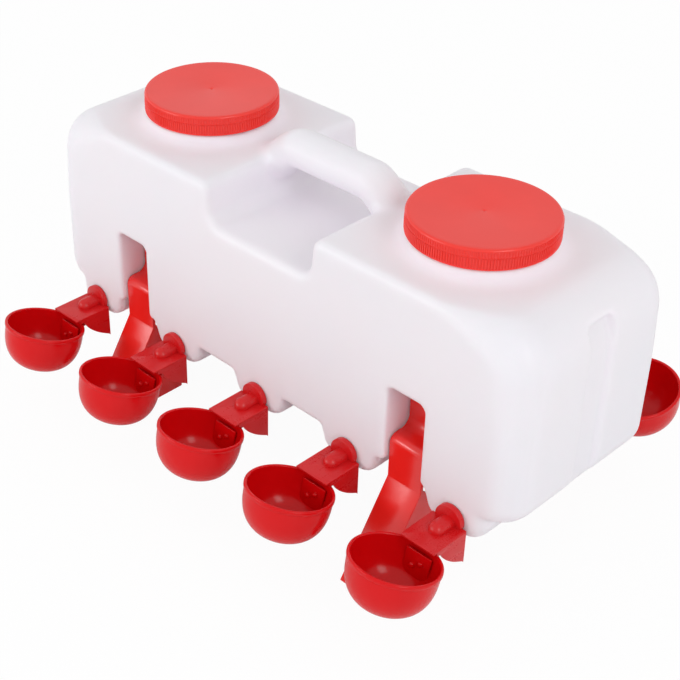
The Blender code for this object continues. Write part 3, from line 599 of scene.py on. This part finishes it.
def handle_mesh(inset, sides, steps):
    """The arched carrying handle: an oval swept along a route that dips into both towers."""

    def drop_at(x):
        share = max(0.0, (abs(x) - HANDLE_LEVEL_HALF) / (HANDLE_END_X - HANDLE_LEVEL_HALF))
        return HANDLE_DROP / 2 * (1 - math.cos(math.pi * min(share, 1.0)))

    def build(shape):
        rings = []
        for k in range(steps + 1):
            x = HANDLE_END_X * (2 * k / steps - 1)
            slope = (drop_at(x + SLOPE_STEP) - drop_at(x - SLOPE_STEP)) / (2 * SLOPE_STEP)
            along = Vector((1, 0, -slope)).normalized()
            up = Vector((-along.z, 0, along.x))
            centre = Vector((x, 0, HANDLE_Z - drop_at(x)))
            ring = []
            for j in range(sides):
                a = 2 * math.pi * j / sides
                across = (HANDLE_HALF_WIDTH - inset) * math.cos(a)
                rise = (HANDLE_HALF_HEIGHT - inset) * math.sin(a)
                ring.append(shape.verts.new(centre + up * rise + Vector((0, across, 0))))
            rings.append(ring)
        for near, far in zip(rings, rings[1:]):
            for i in range(sides):
                j = (i + 1) % sides
                shape.faces.new((near[i], near[j], far[j], far[i]))
        shape.faces.new(rings[0])
        shape.faces.new(rings[-1])

    return mesh_from(build, "handle")


def shoulder_mesh(side):
    """The low cone under a cap, ending in a stub of the neck."""
    top = CAP_TOP_Z - CAP_SKIRT - SHOULDER_GAP
    root = TOWER_TOP_Z - SHOULDER_SINK
    hollow = (SHOULDER_TOP_RADIUS + SHOULDER_RADIUS) / 2 - SHOULDER_HOLLOW
    profile = [
        (0.0, top),
        *((SHOULDER_TOP_RADIUS + out, top + up) for out, up in SHOULDER_EDGE),
        (hollow, TOWER_TOP_Z + SHOULDER_HOLLOW_UP),
        (SHOULDER_RADIUS, TOWER_TOP_Z + SHOULDER_TOE_UP),
        (SHOULDER_RADIUS, root),
        (0.0, root),
    ]
    return moved(lathe_mesh(profile, 96), Matrix.Translation((side * CAP_X, 0, 0)))


def relax(obj, name, times, weight=None):
    """Smooths an object's skin, everywhere or by a weight read from each point's place."""
    modifier = obj.modifiers.new(name, "SMOOTH")
    modifier.iterations = times
    if weight:
        group = obj.vertex_groups.new(name=name)
        for vertex in obj.data.vertices:
            amount = weight(vertex.co)
            if amount > 0:
                group.add([vertex.index], amount, "REPLACE")
        modifier.vertex_group = name


def near_joints(point):
    """How much the skin is smoothed at a point: most where the handle and shoulders melt in."""
    x, y = abs(point.x), abs(point.y)
    high = eased(point.z, *MELT_Z)
    handle = eased(y, *HANDLE_MELT_Y) * eased(x, *HANDLE_MELT_X) * eased(x, *HANDLE_MELT_END_X)
    reach = math.hypot(x - CAP_X, y)
    shoulder = eased(reach, *SHOULDER_MELT_IN) * eased(reach, *SHOULDER_MELT_OUT)
    groove = eased(x, *GROOVE_MELT_X) * eased(y, *GROOVE_MELT_Y)
    return max(high * max(handle, SHOULDER_MELT * shoulder), GROOVE_MELT * groove)


def tank_skin():
    """The outside as one melted skin, less the inside, as a blow moulded wall."""
    solids = [tank_solid(inset=0.0, tolerance=0.00004, rings=10)]
    solids += [handle_mesh(inset=0.0, sides=40, steps=60)]
    solids += [shoulder_mesh(side) for side in (-1, 1)]
    skin = new_object("tank_visual", joined("tank_visual", solids))
    remesh = skin.modifiers.new("melt", "REMESH")
    remesh.mode = "VOXEL"
    remesh.voxel_size = SKIN_VOXEL
    bake(skin)
    relax(skin, "all", times=3)
    relax(skin, "joints", times=40, weight=near_joints)
    bake(skin)
    inside = tank_solid(inset=WALL, tolerance=0.0003, rings=4)
    mouths = []
    for side in (-1, 1):
        low, high = (side * CAP_X, 0, TOWER_TOP_Z - MOUTH_DEPTH), (side * CAP_X, 0, CAP_TOP_Z)
        mouths.append(rod_mesh(low, high, NECK_BORE, 72))
    inside = combine(inside, mouths + [handle_mesh(inset=WALL, sides=16, steps=24)])
    skin.data = combine(skin.data, [inside], "DIFFERENCE")
    smooth(skin.data, SKIN_SHARP)
    skin.vertex_groups.clear()
    return skin


# Geometry Nodes: ribs round a cap, threads round a neck


def node_tree(name, inputs):
    """A tree with a geometry in and out and the named inputs, and a helper that adds nodes."""
    tree = bpy.data.node_groups.new(name, "GeometryNodeTree")
    tree.interface.new_socket("Geometry", in_out="INPUT", socket_type="NodeSocketGeometry")
    tree.interface.new_socket("Geometry", in_out="OUTPUT", socket_type="NodeSocketGeometry")
    for label, kind in inputs.items():
        tree.interface.new_socket(label, in_out="INPUT", socket_type=kind)

    def add(kind, links=None, **settings):
        node = tree.nodes.new(kind)
        for key, value in settings.items():
            setattr(node, key, value)
        for key, value in (links or {}).items():
            socket = node.inputs[key]
            if isinstance(value, bpy.types.NodeSocket):
                tree.links.new(value, socket)
            else:
                socket.default_value = value
        return node

    return tree, add, add("NodeGroupInput"), add("NodeGroupOutput")


def join_to_carrier(tree, add, source, out, made, offset):
    """Ends a tree: shifts what it made, joins it to the piece that carries it and paints both."""
    shifted = add("GeometryNodeTransform", {"Geometry": made, "Translation": offset})
    real = add("GeometryNodeRealizeInstances", {"Geometry": shifted.outputs["Geometry"]})
    join = add("GeometryNodeJoinGeometry", {"Geometry": real.outputs["Geometry"]})
    tree.links.new(source.outputs["Geometry"], join.inputs["Geometry"])
    painted = add(
        "GeometryNodeSetMaterial",
        {"Geometry": join.outputs["Geometry"], "Material": source.outputs["Material"]},
    )
    tree.links.new(painted.outputs["Geometry"], out.inputs["Geometry"])


def rib_tree():
    """Upright half-round ribs in a ring, joined to the piece that carries them."""
    tree, add, source, out = node_tree(
        "grip_ribs",
        {
            "Count": "NodeSocketInt",
            "Ring Radius": "NodeSocketFloat",
            "Rib Radius": "NodeSocketFloat",
            "Rib Height": "NodeSocketFloat",
            "Middle": "NodeSocketVector",
            "Material": "NodeSocketMaterial",
        },
    )
    ring = add(
        "GeometryNodeMeshCircle",
        {"Vertices": source.outputs["Count"], "Radius": source.outputs["Ring Radius"]},
    )
    rib = add(
        "GeometryNodeMeshCylinder",
        {
            "Vertices": 8,
            "Side Segments": 1,
            "Radius": source.outputs["Rib Radius"],
            "Depth": source.outputs["Rib Height"],
        },
    )
    placed = add(
        "GeometryNodeInstanceOnPoints",
        {"Points": ring.outputs["Mesh"], "Instance": rib.outputs["Mesh"]},
    )
    ribs, middle = placed.outputs["Instances"], source.outputs["Middle"]
    join_to_carrier(tree, add, source, out, ribs, middle)
    return tree


def thread_tree():
    """A screw thread: a round section swept along a level spiral, joined to its carrier."""
    tree, add, source, out = node_tree(
        "thread",
        {
            "Radius": "NodeSocketFloat",
            "Turns": "NodeSocketFloat",
            "Rise": "NodeSocketFloat",
            "Section": "NodeSocketFloat",
            "Start": "NodeSocketVector",
            "Material": "NodeSocketMaterial",
        },
    )
    spiral = add(
        "GeometryNodeCurveSpiral",
        {
            "Resolution": 96,
            "Rotations": source.outputs["Turns"],
            "Start Radius": source.outputs["Radius"],
            "End Radius": source.outputs["Radius"],
            "Height": source.outputs["Rise"],
            "Reverse": True,
        },
    )
    section = add(
        "GeometryNodeCurvePrimitiveCircle", {"Resolution": 8, "Radius": source.outputs["Section"]}
    )
    swept = add(
        "GeometryNodeCurveToMesh",
        {
            "Curve": spiral.outputs["Curve"],
            "Profile Curve": section.outputs["Curve"],
            "Fill Caps": True,
        },
    )
    join_to_carrier(tree, add, source, out, swept.outputs["Mesh"], source.outputs["Start"])
    return tree


def apply_tree(obj, tree, values):
    """Runs a tree on an object with its inputs set by name, and keeps what it makes."""
    modifier = obj.modifiers.new(tree.name, "NODES")
    modifier.node_group = tree
    for item in tree.interface.items_tree:
        if item.item_type == "SOCKET" and item.in_out == "INPUT" and item.name in values:
            modifier[item.identifier] = values[item.name]
    bake(obj)


# Shader maths


class Value:
    """A number in a paint: the usual operators add the Math nodes that work it out."""

    def __init__(self, paint, socket):
        self.paint = paint
        self.socket = socket

    def math(self, operation, *others):
        terms = dict(enumerate((self, *others)))
        made = self.paint.node("ShaderNodeMath", terms, operation=operation)
        return Value(self.paint, made.outputs[0])

    def __add__(self, other):
        return self.math("ADD", other)

    def __radd__(self, other):
        return self.math("ADD", other)

    def __sub__(self, other):
        return self.math("SUBTRACT", other)

    def __rsub__(self, other):
        return (self * -1) + other

    def __mul__(self, other):
        return self.math("MULTIPLY", other)

    def __rmul__(self, other):
        return self.math("MULTIPLY", other)

    def __abs__(self):
        return self.math("ABSOLUTE")

    def smooth_step(self, low, high):
        """0 below low, 1 above high, and eased between."""
        made = self.paint.node(
            "ShaderNodeMapRange",
            {"Value": self, "From Min": low, "From Max": high},
            interpolation_type="SMOOTHSTEP",
        )
        return Value(self.paint, made.outputs["Result"])


class Paint:
    """A material with a Principled shader, and the few helpers that its patterns use."""

    def __init__(self, name, colour, roughness, **constants):
        self.material = bpy.data.materials.new(name)
        self.material.use_nodes = True
        self.tree = self.material.node_tree
        self.shader = self.tree.nodes["Principled BSDF"]
        self.shader.inputs["Base Color"].default_value = (*colour, 1.0)
        self.shader.inputs["Roughness"].default_value = roughness
        for key, value in constants.items():
            self.shader.inputs[key.replace("_", " ")].default_value = value
        self.place = self.node("ShaderNodeTexCoord").outputs["Object"]

    def node(self, kind, links=None, **settings):
        made = self.tree.nodes.new(kind)
        for key, value in settings.items():
            setattr(made, key, value)
        for key, value in (links or {}).items():
            if isinstance(value, Value):
                value = value.socket
            if isinstance(value, bpy.types.NodeSocket):
                self.tree.links.new(value, made.inputs[key])
            else:
                made.inputs[key].default_value = value
        return made

    def along(self, axis):
        """How far a point lies along one of the drinker's axes, in metres."""
        split = self.node("ShaderNodeSeparateXYZ", {"Vector": self.place})
        return Value(self, split.outputs[axis])

    def noise(self, scale, detail, stretch=None):
        place = self.place
        if stretch:
            mapping = self.node("ShaderNodeMapping", {"Vector": place, "Scale": stretch})
            place = mapping.outputs["Vector"]
        made = self.node("ShaderNodeTexNoise", {"Vector": place, "Scale": scale, "Detail": detail})
        return Value(self, made.outputs["Fac"])

    def between(self, amount, first, second):
        """A colour between two, by an amount from 0 to 1."""
        ends = {MIX_FIRST: (*first, 1.0), MIX_SECOND: (*second, 1.0)}
        mix = self.node("ShaderNodeMix", {"Factor": amount, **ends}, data_type="RGBA")
        return mix.outputs[MIX_RESULT]

    def varies(self, socket, value):
        """Lets a value or a colour drive one of the shader's own sockets."""
        if isinstance(value, Value):
            value = value.socket
        self.tree.links.new(value, self.shader.inputs[socket])

    def bump(self, height, strength, distance):
        made = self.node(
            "ShaderNodeBump", {"Height": height, "Strength": strength, "Distance": distance}
        )
        self.varies("Normal", made.outputs["Normal"])


def red_paint(name, colour, roughness, grain, shine=0.5):
    """Glossy injection moulded plastic with faint flow marks and fine handling scuffs."""
    paint = Paint(name, colour, roughness, Specular_IOR_Level=shine, Subsurface_Weight=0.06)
    paint.shader.inputs["Subsurface Radius"].default_value = (0.006, 0.0015, 0.001)
    paint.shader.inputs["Subsurface Scale"].default_value = 0.3
    flow = paint.noise(28.0, 3.0, (1.0, 1.0, 0.35))
    scuffs = paint.noise(900.0, 2.0)
    wipes = paint.noise(160.0, 4.0, (1.0, 0.2, 1.0))
    deep = tuple(c * 0.96 for c in colour)
    paint.varies("Base Color", paint.between(flow.smooth_step(0.35, 0.75), deep, colour))
    paint.varies("Roughness", roughness + 0.04 * (wipes - 0.5) + 0.03 * (scuffs - 0.5))
    paint.bump(flow * 0.3 + scuffs * grain, 0.08, 0.0004)
    return paint.material


def tank_paint():
    """Milky polyethylene: soft, a little see-through, with a parting line along the middle."""
    colour = (0.90, 0.850, 0.920)
    paint = Paint("milky_plastic", colour, 0.42, Subsurface_Weight=0.5, Specular_IOR_Level=0.35)
    paint.shader.inputs["Subsurface Radius"].default_value = (0.012, 0.010, 0.011)
    paint.shader.inputs["Subsurface Scale"].default_value = 0.5
    cloud = paint.noise(7.0, 3.0)
    thin = (0.915, 0.850, 0.915)
    thick = (0.885, 0.850, 0.925)
    paint.varies("Base Color", paint.between(cloud.smooth_step(0.3, 0.7), thin, thick))
    skin = paint.noise(420.0, 3.0)
    paint.varies("Roughness", 0.42 + 0.08 * (skin - 0.5))
    seam = 1 - abs(paint.along("Y")).smooth_step(0.0002, 0.0007)
    ripple = paint.noise(22.0, 2.0)
    paint.bump(ripple * 0.5 + skin * 0.05 + seam * 0.35, 0.25, 0.0006)
    return paint.material


def plain_paint(name, colour, roughness, scale):
    """Grey plastic or foam, or black rubber, with a fine grain."""
    paint = Paint(name, colour, roughness)
    grain = paint.noise(scale, 3.0)
    dark = tuple(c * 0.85 for c in colour)
    paint.varies("Base Color", paint.between(grain, dark, colour))
    paint.varies("Roughness", roughness + 0.1 * (grain - 0.5))
    paint.bump(grain, 0.1, 0.0003)
    return paint.material


# Caps and necks


def cap_profile():
    """The cap's wall from its centre dimple over the edge, down the skirt and up its inside."""
    top = CAP_TOP_Z
    skirt_end = top - CAP_SKIRT
    inside = CAP_RADIUS - CAP_WALL
    edge = CAP_EDGE_RADIUS
    return (
        [(radius, top - depth) for radius, depth in CAP_DIMPLE]
        + [(CAP_WELL_RADIUS, top - CAP_WELL_DEPTH), (CAP_RING_RADIUS, top)]
        + arc((CAP_RADIUS - edge, top - edge), edge, 90, 0, 8)
        + [(CAP_RADIUS + SKIRT_SIDE[0][0], top - CAP_SHADOW_LINE)]
        + [(CAP_RADIUS + out, skirt_end + up) for out, up in SKIRT_SIDE]
        + [
            (inside + SKIRT_LEAD_IN, skirt_end + SKIRT_SIDE[-1][1]),
            (inside, skirt_end + SKIRT_SIDE[-1][1] + SKIRT_LEAD_IN),
            (inside, top - CAP_WALL - CAP_CORNER),
            (inside - CAP_CORNER, top - CAP_WALL),
            (0.0, top - CAP_WALL),
        ]
    )


def neck_profile():
    """The neck's wall from its root up the bore, over the rim and down its outside."""
    root = TOWER_TOP_Z - NECK_ROOT
    skirt_end = CAP_TOP_Z - CAP_SKIRT
    flared = NECK_RADIUS + NECK_FLARE
    return [
        (NECK_BORE, root),
        (NECK_BORE, NECK_RIM_Z - NECK_INNER_EDGE),
        (NECK_BORE + NECK_INNER_EDGE, NECK_RIM_Z),
        (NECK_RADIUS - NECK_OUTER_EDGE, NECK_RIM_Z),
        (NECK_RADIUS, NECK_RIM_Z - NECK_OUTER_EDGE),
        (NECK_RADIUS, skirt_end),
        (flared, skirt_end - NECK_FLARE_DROP),
        (flared, root),
        (NECK_BORE, root),
    ]


def add_ribs(cap, ribs, row, paint):
    """One row of grip ribs round a cap's skirt."""
    radius, height, middle = row
    values = {
        "Count": RIB_COUNT,
        "Ring Radius": CAP_RADIUS - RIB_INSET,
        "Rib Radius": radius,
        "Rib Height": height,
        "Middle": (0.0, 0.0, CAP_TOP_Z - CAP_SKIRT + middle),
        "Material": paint,
    }
    apply_tree(cap, ribs, values)


def add_thread(carrier, thread, radius, start, paint):
    """A screw thread on a wall of the given radius, rising from a start height."""
    values = {
        "Radius": radius - THREAD_INSET,
        "Turns": THREAD_TURNS,
        "Rise": THREAD_RISE,
        "Section": THREAD_SECTION,
        "Start": (0.0, 0.0, start),
        "Material": paint,
    }
    apply_tree(carrier, thread, values)


def make_caps(red, milky):
    ribs = rib_tree()
    thread = thread_tree()
    skirt_end = CAP_TOP_Z - CAP_SKIRT
    for side, tag in ((-1, "left"), (1, "right")):
        shell = lathe_mesh(cap_profile(), 160)
        smooth(shell, 35)
        cap = new_object(f"cap_{tag}_visual", shell)
        for row in RIB_ROWS:
            add_ribs(cap, ribs, row, red)
        add_thread(cap, thread, CAP_RADIUS - CAP_WALL, skirt_end + CAP_THREAD_UP, red)
        place_piece(cap, (side * CAP_X, 0, 0), f"lid_{tag}", [f"cap_{tag}"])

        wall = lathe_mesh(neck_profile(), 128)
        smooth(wall, 35)
        neck = new_object(f"neck_{tag}_visual", wall)
        add_thread(neck, thread, NECK_RADIUS, skirt_end - NECK_THREAD_DOWN, milky)
        place_piece(neck, (side * CAP_X, 0, 0), "drinker", [])


# Stands


def stand_route():
    """One side of the strap, from the middle of the arch down to the ground, as Y and Z."""
    top, bend = STAND_TOP_Z, STAND_BEND_RADIUS
    upright, face = STAND_UPRIGHT_Y, STAND_FACE_Y
    step, step_z = STAND_STEP_RADIUS, STAND_STEP_Z
    curl = (face - upright - step) / 2
    return (
        [(0.0, top)]
        + arc((upright - bend, top - bend), bend, 90, 0, 12)
        + arc((upright + step, step_z + step), step, 180, 262, 12)
        + arc((face - curl, step_z - curl), curl, 80, 0, 8)
        + [(face + out, z) for out, z in LEG_BEND]
        + [(STAND_FOOT_Y, -STAND_SINK)]
    )


def strap_mesh():
    """The strap bent over the arch and out to both feet, cut to length later at the ground."""
    half = stand_route()
    route = [(-y, z) for y, z in reversed(half[1:])] + half
    offsets = []
    for i, (y, z) in enumerate(route):
        a = route[max(i - 1, 0)]
        b = route[min(i + 1, len(route) - 1)]
        along = Vector((b[0] - a[0], b[1] - a[1])).normalized()
        offsets.append(Vector((-along.y, along.x)) * STAND_THICKNESS / 2)
    upper = [(y + o.x, z + o.y) for (y, z), o in zip(route, offsets)]
    lower = [(y - o.x, z - o.y) for (y, z), o in zip(route, offsets)]
    return prism_mesh(upper + lower[::-1], -STAND_WIDTH / 2, STAND_WIDTH / 2, "X")


def web_mesh(leg, edge):
    """The flat web along one edge of a leg's strap, both given as -1 or 1."""
    inner_foot = WEB_EDGE[-1][0]
    outline = [(STAND_FACE_Y, WEB_TOP_Z), *WEB_EDGE, (inner_foot, -STAND_SINK)]
    outline += [(STAND_FOOT_Y, -STAND_SINK), (STAND_FACE_Y, WEB_BEND_Z)]
    outer = STAND_WIDTH / 2
    low, high = sorted((edge * outer, edge * (outer - WEB_THICKNESS)))
    return prism_mesh([(leg * y, z) for y, z in outline], low, high, "X")


def make_stands(red):
    for side, tag in ((-1, "left"), (1, "right")):
        webs = [web_mesh(leg, edge) for leg in (-1, 1) for edge in (-1, 1)]
        shape = combine(strap_mesh(), webs)
        shape = bevelled(combine(shape, [box_mesh(*GROUND)], "DIFFERENCE"), SOFT_EDGE, 30)
        shape.materials.append(red)
        stand = new_object(f"stand_{tag}_visual", shape)
        place_piece(stand, (side * SLOT_X, 0, 0), "drinker", [f"stand_{tag}"])


# Cups, drawn with the inlet's axis along +Y out of the tank, which ends at Y = 0


def curve_through(points, steps):
    """A smooth line through a few measured points."""
    line = []
    for i in range(len(points) - 1):
        before, here, there, after = (
            Vector(points[min(max(i + k, 0), len(points) - 1)]) for k in (-1, 0, 1, 2)
        )
        for k in range(steps):
            t = k / steps
            line.append(
                0.5
                * (
                    2 * here
                    + (there - before) * t
                    + (2 * before - 5 * here + 4 * there - after) * t**2
                    + (3 * here - before - 3 * there + after) * t**3
                )
            )
    return [(point.x, point.y) for point in line] + [points[-1]]


def pivot_rod(start, end, radius, sides):
    """A round rod on the line that the bowl rocks about, between two places along X."""
    near, far = ((x, PIVOT_OUT, -PIVOT_DROP) for x in (start, end))
    return rod_mesh(near, far, radius, sides)


def bracket_hood():
    """The bracket's thin roof and two side plates, with blind holes for the bowl's pins."""
    outline = [(PLATE_BACK, ROOF_TOP), (PLATE_BACK, -PLATE_DEPTH)]
    outline += curve_through(PLATE_EDGE, 4) + [(PLATE_REACH, ROOF_TOP)]
    inner = BRACKET_HALF - PLATE_THICKNESS
    plates = [
        prism_mesh(outline, inner, BRACKET_HALF, "X"),
        prism_mesh(outline, -BRACKET_HALF, -inner, "X"),
    ]
    roof_low = (-BRACKET_HALF, PLATE_BACK, ROOF_TOP - ROOF_THICKNESS)
    roof = box_mesh(roof_low, (BRACKET_HALF, ROOF_REACH, ROOF_TOP))
    hood = bevelled(combine(roof, plates), FINE_EDGE, BRACKET_SHARP)
    blind = BRACKET_HALF - TRUNNION_SKIN
    hood = combine(hood, [pivot_rod(-blind, blind, PIVOT_HOLE, 20)], "DIFFERENCE")
    for face in hood.polygons:
        face.use_smooth = face.area < FLAT_FACE_AREA
    hood.set_sharp_from_angle(angle=math.radians(BRACKET_SHARP))
    return hood


def inlet_boss():
    """The rounded boss that carries the water from the tank out to the nozzle."""
    root = FLANGE_BACK + SHELL_OVERLAP
    dome = arc((0.0, BOSS_TIP - BOSS_RADIUS), BOSS_RADIUS, 0, 86, 8)
    profile = [(0.0, BOSS_TIP)] + list(reversed(dome)) + [(BOSS_RADIUS, root), (0.0, root)]
    boss = lathe_mesh(profile, 32)
    smooth(boss, BRACKET_SHARP)
    return moved(boss, Matrix.Translation((0, 0, BOSS_Z)) @ LAID_OUT)


def drilled(rod, bore):
    """A rod with a bore, shaded smooth."""
    tube = combine(rod, [bore], "DIFFERENCE")
    smooth(tube, BRACKET_SHARP)
    return tube


def bracket_visual():
    """The bracket's closed shells in one mesh: hood, flange, inlet boss, nozzle and stem."""
    flange = rod_mesh((0, FLANGE_BACK, FLANGE_Z), (0, FLANGE_FRONT, FLANGE_Z), FLANGE_RADIUS, 48)
    out, drop_to = NOZZLE_OUT, -NOZZLE_DROP
    nozzle = drilled(
        rod_mesh((0, out, BOSS_Z), (0, out, drop_to), NOZZLE_ROOT, 24, NOZZLE_RADIUS),
        rod_mesh((0, out, drop_to / 2), (0, out, 2 * drop_to), NOZZLE_BORE, 12),
    )
    stem = drilled(
        rod_mesh((0, -STEM_REACH, 0), (0, FLANGE_FRONT - SHELL_OVERLAP, 0), STEM_RADIUS, 24),
        rod_mesh((0, -2 * STEM_REACH, 0), (0, 0, 0), STEM_BORE, 16),
    )
    pieces = [bracket_hood(), bevelled(flange, SOFT_EDGE), inlet_boss(), nozzle, stem]
    return joined("bracket", pieces)


def bowl_profile():
    """The bowl's wall from its rim, down its outer side and up its inner side."""

    def belly(radius, depth, top, steps):
        points = []
        for k in range(steps + 1):
            angle = math.pi / 2 * k / steps
            across = radius * max(math.cos(angle), 0.0) ** BELLY_POWER
            points.append((across, -top - depth * math.sin(angle) ** BELLY_POWER))
        points[-1] = (0.0, points[-1][1])
        return points

    lip = arc((LIP_REACH - LIP_RADIUS, -LIP_RADIUS), LIP_RADIUS, 160, 0, 6)
    outer = belly(radius=0.0336, depth=0.0362, top=0.0038, steps=20)
    inner = belly(radius=0.0320, depth=0.0345, top=0.0034, steps=18)
    return [*lip, *LIP_FOOT, *outer, *reversed(inner), lip[0]]


def guard_and_studs(place):
    """The upright plate at the bowl's rear and the two small studs in it."""
    wall = [*GUARD_EDGE, *((-x, z) for x, z in reversed(GUARD_EDGE))]
    back, front = (-GUARD_BACK + k * GUARD_THICKNESS / 2 for k in (-1, 1))
    guard = bevelled(moved(prism_mesh(wall, back, front, "Y"), place), SOFT_EDGE)
    dome = arc((0.0, STUD_RISE), STUD_RADIUS, 0, 90, 6)[:-1]
    profile = [(0.0, 0.0), (STUD_RADIUS, 0.0), *dome, (0.0, STUD_RISE + STUD_RADIUS)]
    stud = lathe_mesh(profile, 24)
    smooth(stud, 40)
    at = [Matrix.Translation((x, front - STUD_SINK, z)) for x, z in STUDS]
    return [guard] + [moved(stud, place @ seat @ LAID_OUT) for seat in at]


def lever_and_pins():
    """The valve lever under the nozzle, and the ears and pins that the bowl rocks on."""
    low = -PIVOT_DROP - LEVER_THICKNESS / 2
    lever = box_mesh((-LEVER_HALF, LEVER_FROM, low), (LEVER_HALF, LEVER_TO, low + LEVER_THICKNESS))
    pieces = [bevelled(lever, SOFT_EDGE)]
    for edge in (-1, 1):
        ear = pivot_rod(edge * EAR_FROM, edge * EAR_TO, EAR_RADIUS, 32)
        pin = pivot_rod(edge * PIN_FROM, edge * PIN_TO, PIN_RADIUS, 24)
        pieces += [bevelled(ear, EAR_EDGE), bevelled(pin, FINE_EDGE)]
    return pieces


def bowl_visual():
    place = Matrix.Translation((0, BOWL_OUT, -BOWL_DROP)) @ Matrix.Rotation(BOWL_TILT, 4, "X")
    bowl = moved(lathe_mesh(bowl_profile(), 72), place)
    smooth(bowl, 40)
    return joined("bowl", [bowl] + guard_and_studs(place) + lever_and_pins())


def make_cups(bracket_red, bowl_red):
    bracket = bracket_visual()
    bowl = bowl_visual()
    for side, tag in ((-1, "front"), (1, "rear")):
        for number, x in enumerate(CUP_X, 1):
            turn = Matrix.Rotation(math.pi if side < 0 else 0.0, 4, "Z")
            place = Matrix.Translation((x, side * TANK_WIDTH / 2, INLET_Z)) @ turn
            for mesh, node, body, slot, paint in (
                (bracket, "cup_bracket", "drinker", "bracket", bracket_red),
                (bowl, "cup_bowl", f"cup_{tag}_{number}", "bowl", bowl_red),
            ):
                name = f"{node}_{tag}_{number}"
                copy = moved(mesh, place)
                copy.materials.append(paint)
                obj = new_object(f"{name}_visual", copy)
                place_piece(obj, (0, 0, 0), body, [name])


# Studio


def light(name, place, target, size, power):
    """A white soft box, aimed from its place at a target."""
    data = bpy.data.lights.new(name, "AREA")
    data.shape = "RECTANGLE"
    data.size, data.size_y = size
    data.energy = power
    lamp = new_object(name, data)
    lamp.location = place
    lamp.rotation_euler = (Vector(target) - Vector(place)).to_track_quat("-Z", "Y").to_euler()


def make_stage():
    """A white floor that keeps a faint shadow, and an even white studio round it."""
    shape = bmesh.new()
    bmesh.ops.create_grid(shape, x_segments=1, y_segments=1, size=6.0)
    floor_mesh = bpy.data.meshes.new("floor")
    shape.to_mesh(floor_mesh)
    shape.free()
    floor = new_object("floor", floor_mesh)
    paint = Paint("floor", (0.90, 0.90, 0.90), 0.9, Specular_IOR_Level=0.0)
    seen = Value(paint, paint.node("ShaderNodeLightPath").outputs["Is Camera Ray"])
    white = paint.node("ShaderNodeEmission", {"Color": (1.0, 1.0, 1.0, 1.0), "Strength": 1.0})
    mixed = paint.node(
        "ShaderNodeMixShader",
        {0: seen * 0.95, 1: paint.shader.outputs["BSDF"], 2: white.outputs["Emission"]},
    )
    surface = paint.tree.nodes["Material Output"].inputs["Surface"]
    paint.tree.links.new(mixed.outputs["Shader"], surface)
    floor_mesh.materials.append(paint.material)
    world = bpy.data.worlds.new("studio")
    bpy.context.scene.world = world
    world.use_nodes = True
    background = world.node_tree.nodes["Background"]
    background.inputs["Color"].default_value = (1.0, 1.0, 1.0, 1.0)
    background.inputs["Strength"].default_value = 0.79
    light("key", place=(-0.95, -1.7, 0.75), target=(0, 0, 0.12), size=(1.0, 0.5), power=8.5)
    light("fill", place=(1.6, -0.5, 1.2), target=(0, 0, 0.15), size=(0.6, 0.9), power=7)


def make_camera():
    """The photograph's camera, worked out from the part's own edges and rings in it."""
    data = bpy.data.cameras.new("camera")
    data.lens = 75.13
    data.sensor_width = 36.0
    data.shift_x = 0.1378
    data.shift_y = 0.00265
    data.clip_start = 0.01
    camera = new_object("camera", data)
    right = Vector((0.68363, 0.72978, -0.00887))
    up = Vector((-0.40718, 0.39145, 0.82521))
    back = Vector((0.60569, -0.56052, 0.56476))
    turn = Matrix((right, up, back)).transposed().to_4x4()
    camera.matrix_world = Matrix.Translation((0.6649, -0.7113, 0.7563)) @ turn
    bpy.context.scene.camera = camera


def dress(frame):
    """Paints, pieces, floor, lamps and camera round the loaded frame."""
    bpy.context.scene.view_settings.view_transform = "Standard"
    milky = tank_paint()
    cap_red = red_paint("cap_red", (0.90, 0.036, 0.024), 0.24, 0.02)
    bowl_red = red_paint("bowl_red", (0.68, 0.002, 0.004), 0.18, 0.02, 0.26)
    bracket_red = red_paint("bracket_red", (0.62, 0.008, 0.010), 0.28, 0.01, 0.4)
    stand_red = red_paint("stand_red", (0.84, 0.014, 0.010), 0.22, 0.02, 0.7)
    nut_grey = plain_paint("nut_grey", (0.55, 0.55, 0.56), 0.5, 300.0)
    liner_grey = plain_paint("liner_grey", (0.60, 0.60, 0.60), 0.6, 500.0)
    rubber = plain_paint("black_rubber", (0.03, 0.03, 0.03), 0.6, 400.0)

    tank = tank_skin()
    tank.data.materials.clear()
    tank.data.materials.append(milky)
    place_piece(tank, (0, 0, 0), "drinker", ["tank"])
    make_caps(cap_red, milky)
    make_stands(stand_red)
    make_cups(bracket_red, bowl_red)

    paints = {
        "lock_nut": nut_grey,
        "cap_liner": liner_grey,
        "inlet_seal": rubber,
        "valve_pad": rubber,
    }
    for name, node in frame["nodes"].items():
        kind = next((key for key in paints if name.startswith(key)), None)
        node.data.materials.clear()
        node.data.materials.append(paints.get(kind, bracket_red))
    make_stage()
    make_camera()


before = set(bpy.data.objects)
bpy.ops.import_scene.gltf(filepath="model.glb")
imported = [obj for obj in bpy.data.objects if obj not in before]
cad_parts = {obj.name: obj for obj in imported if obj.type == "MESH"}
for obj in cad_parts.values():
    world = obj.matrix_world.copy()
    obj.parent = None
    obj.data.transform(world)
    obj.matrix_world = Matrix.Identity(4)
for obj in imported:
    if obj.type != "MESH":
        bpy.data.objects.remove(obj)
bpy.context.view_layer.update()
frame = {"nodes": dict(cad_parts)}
dress(frame)
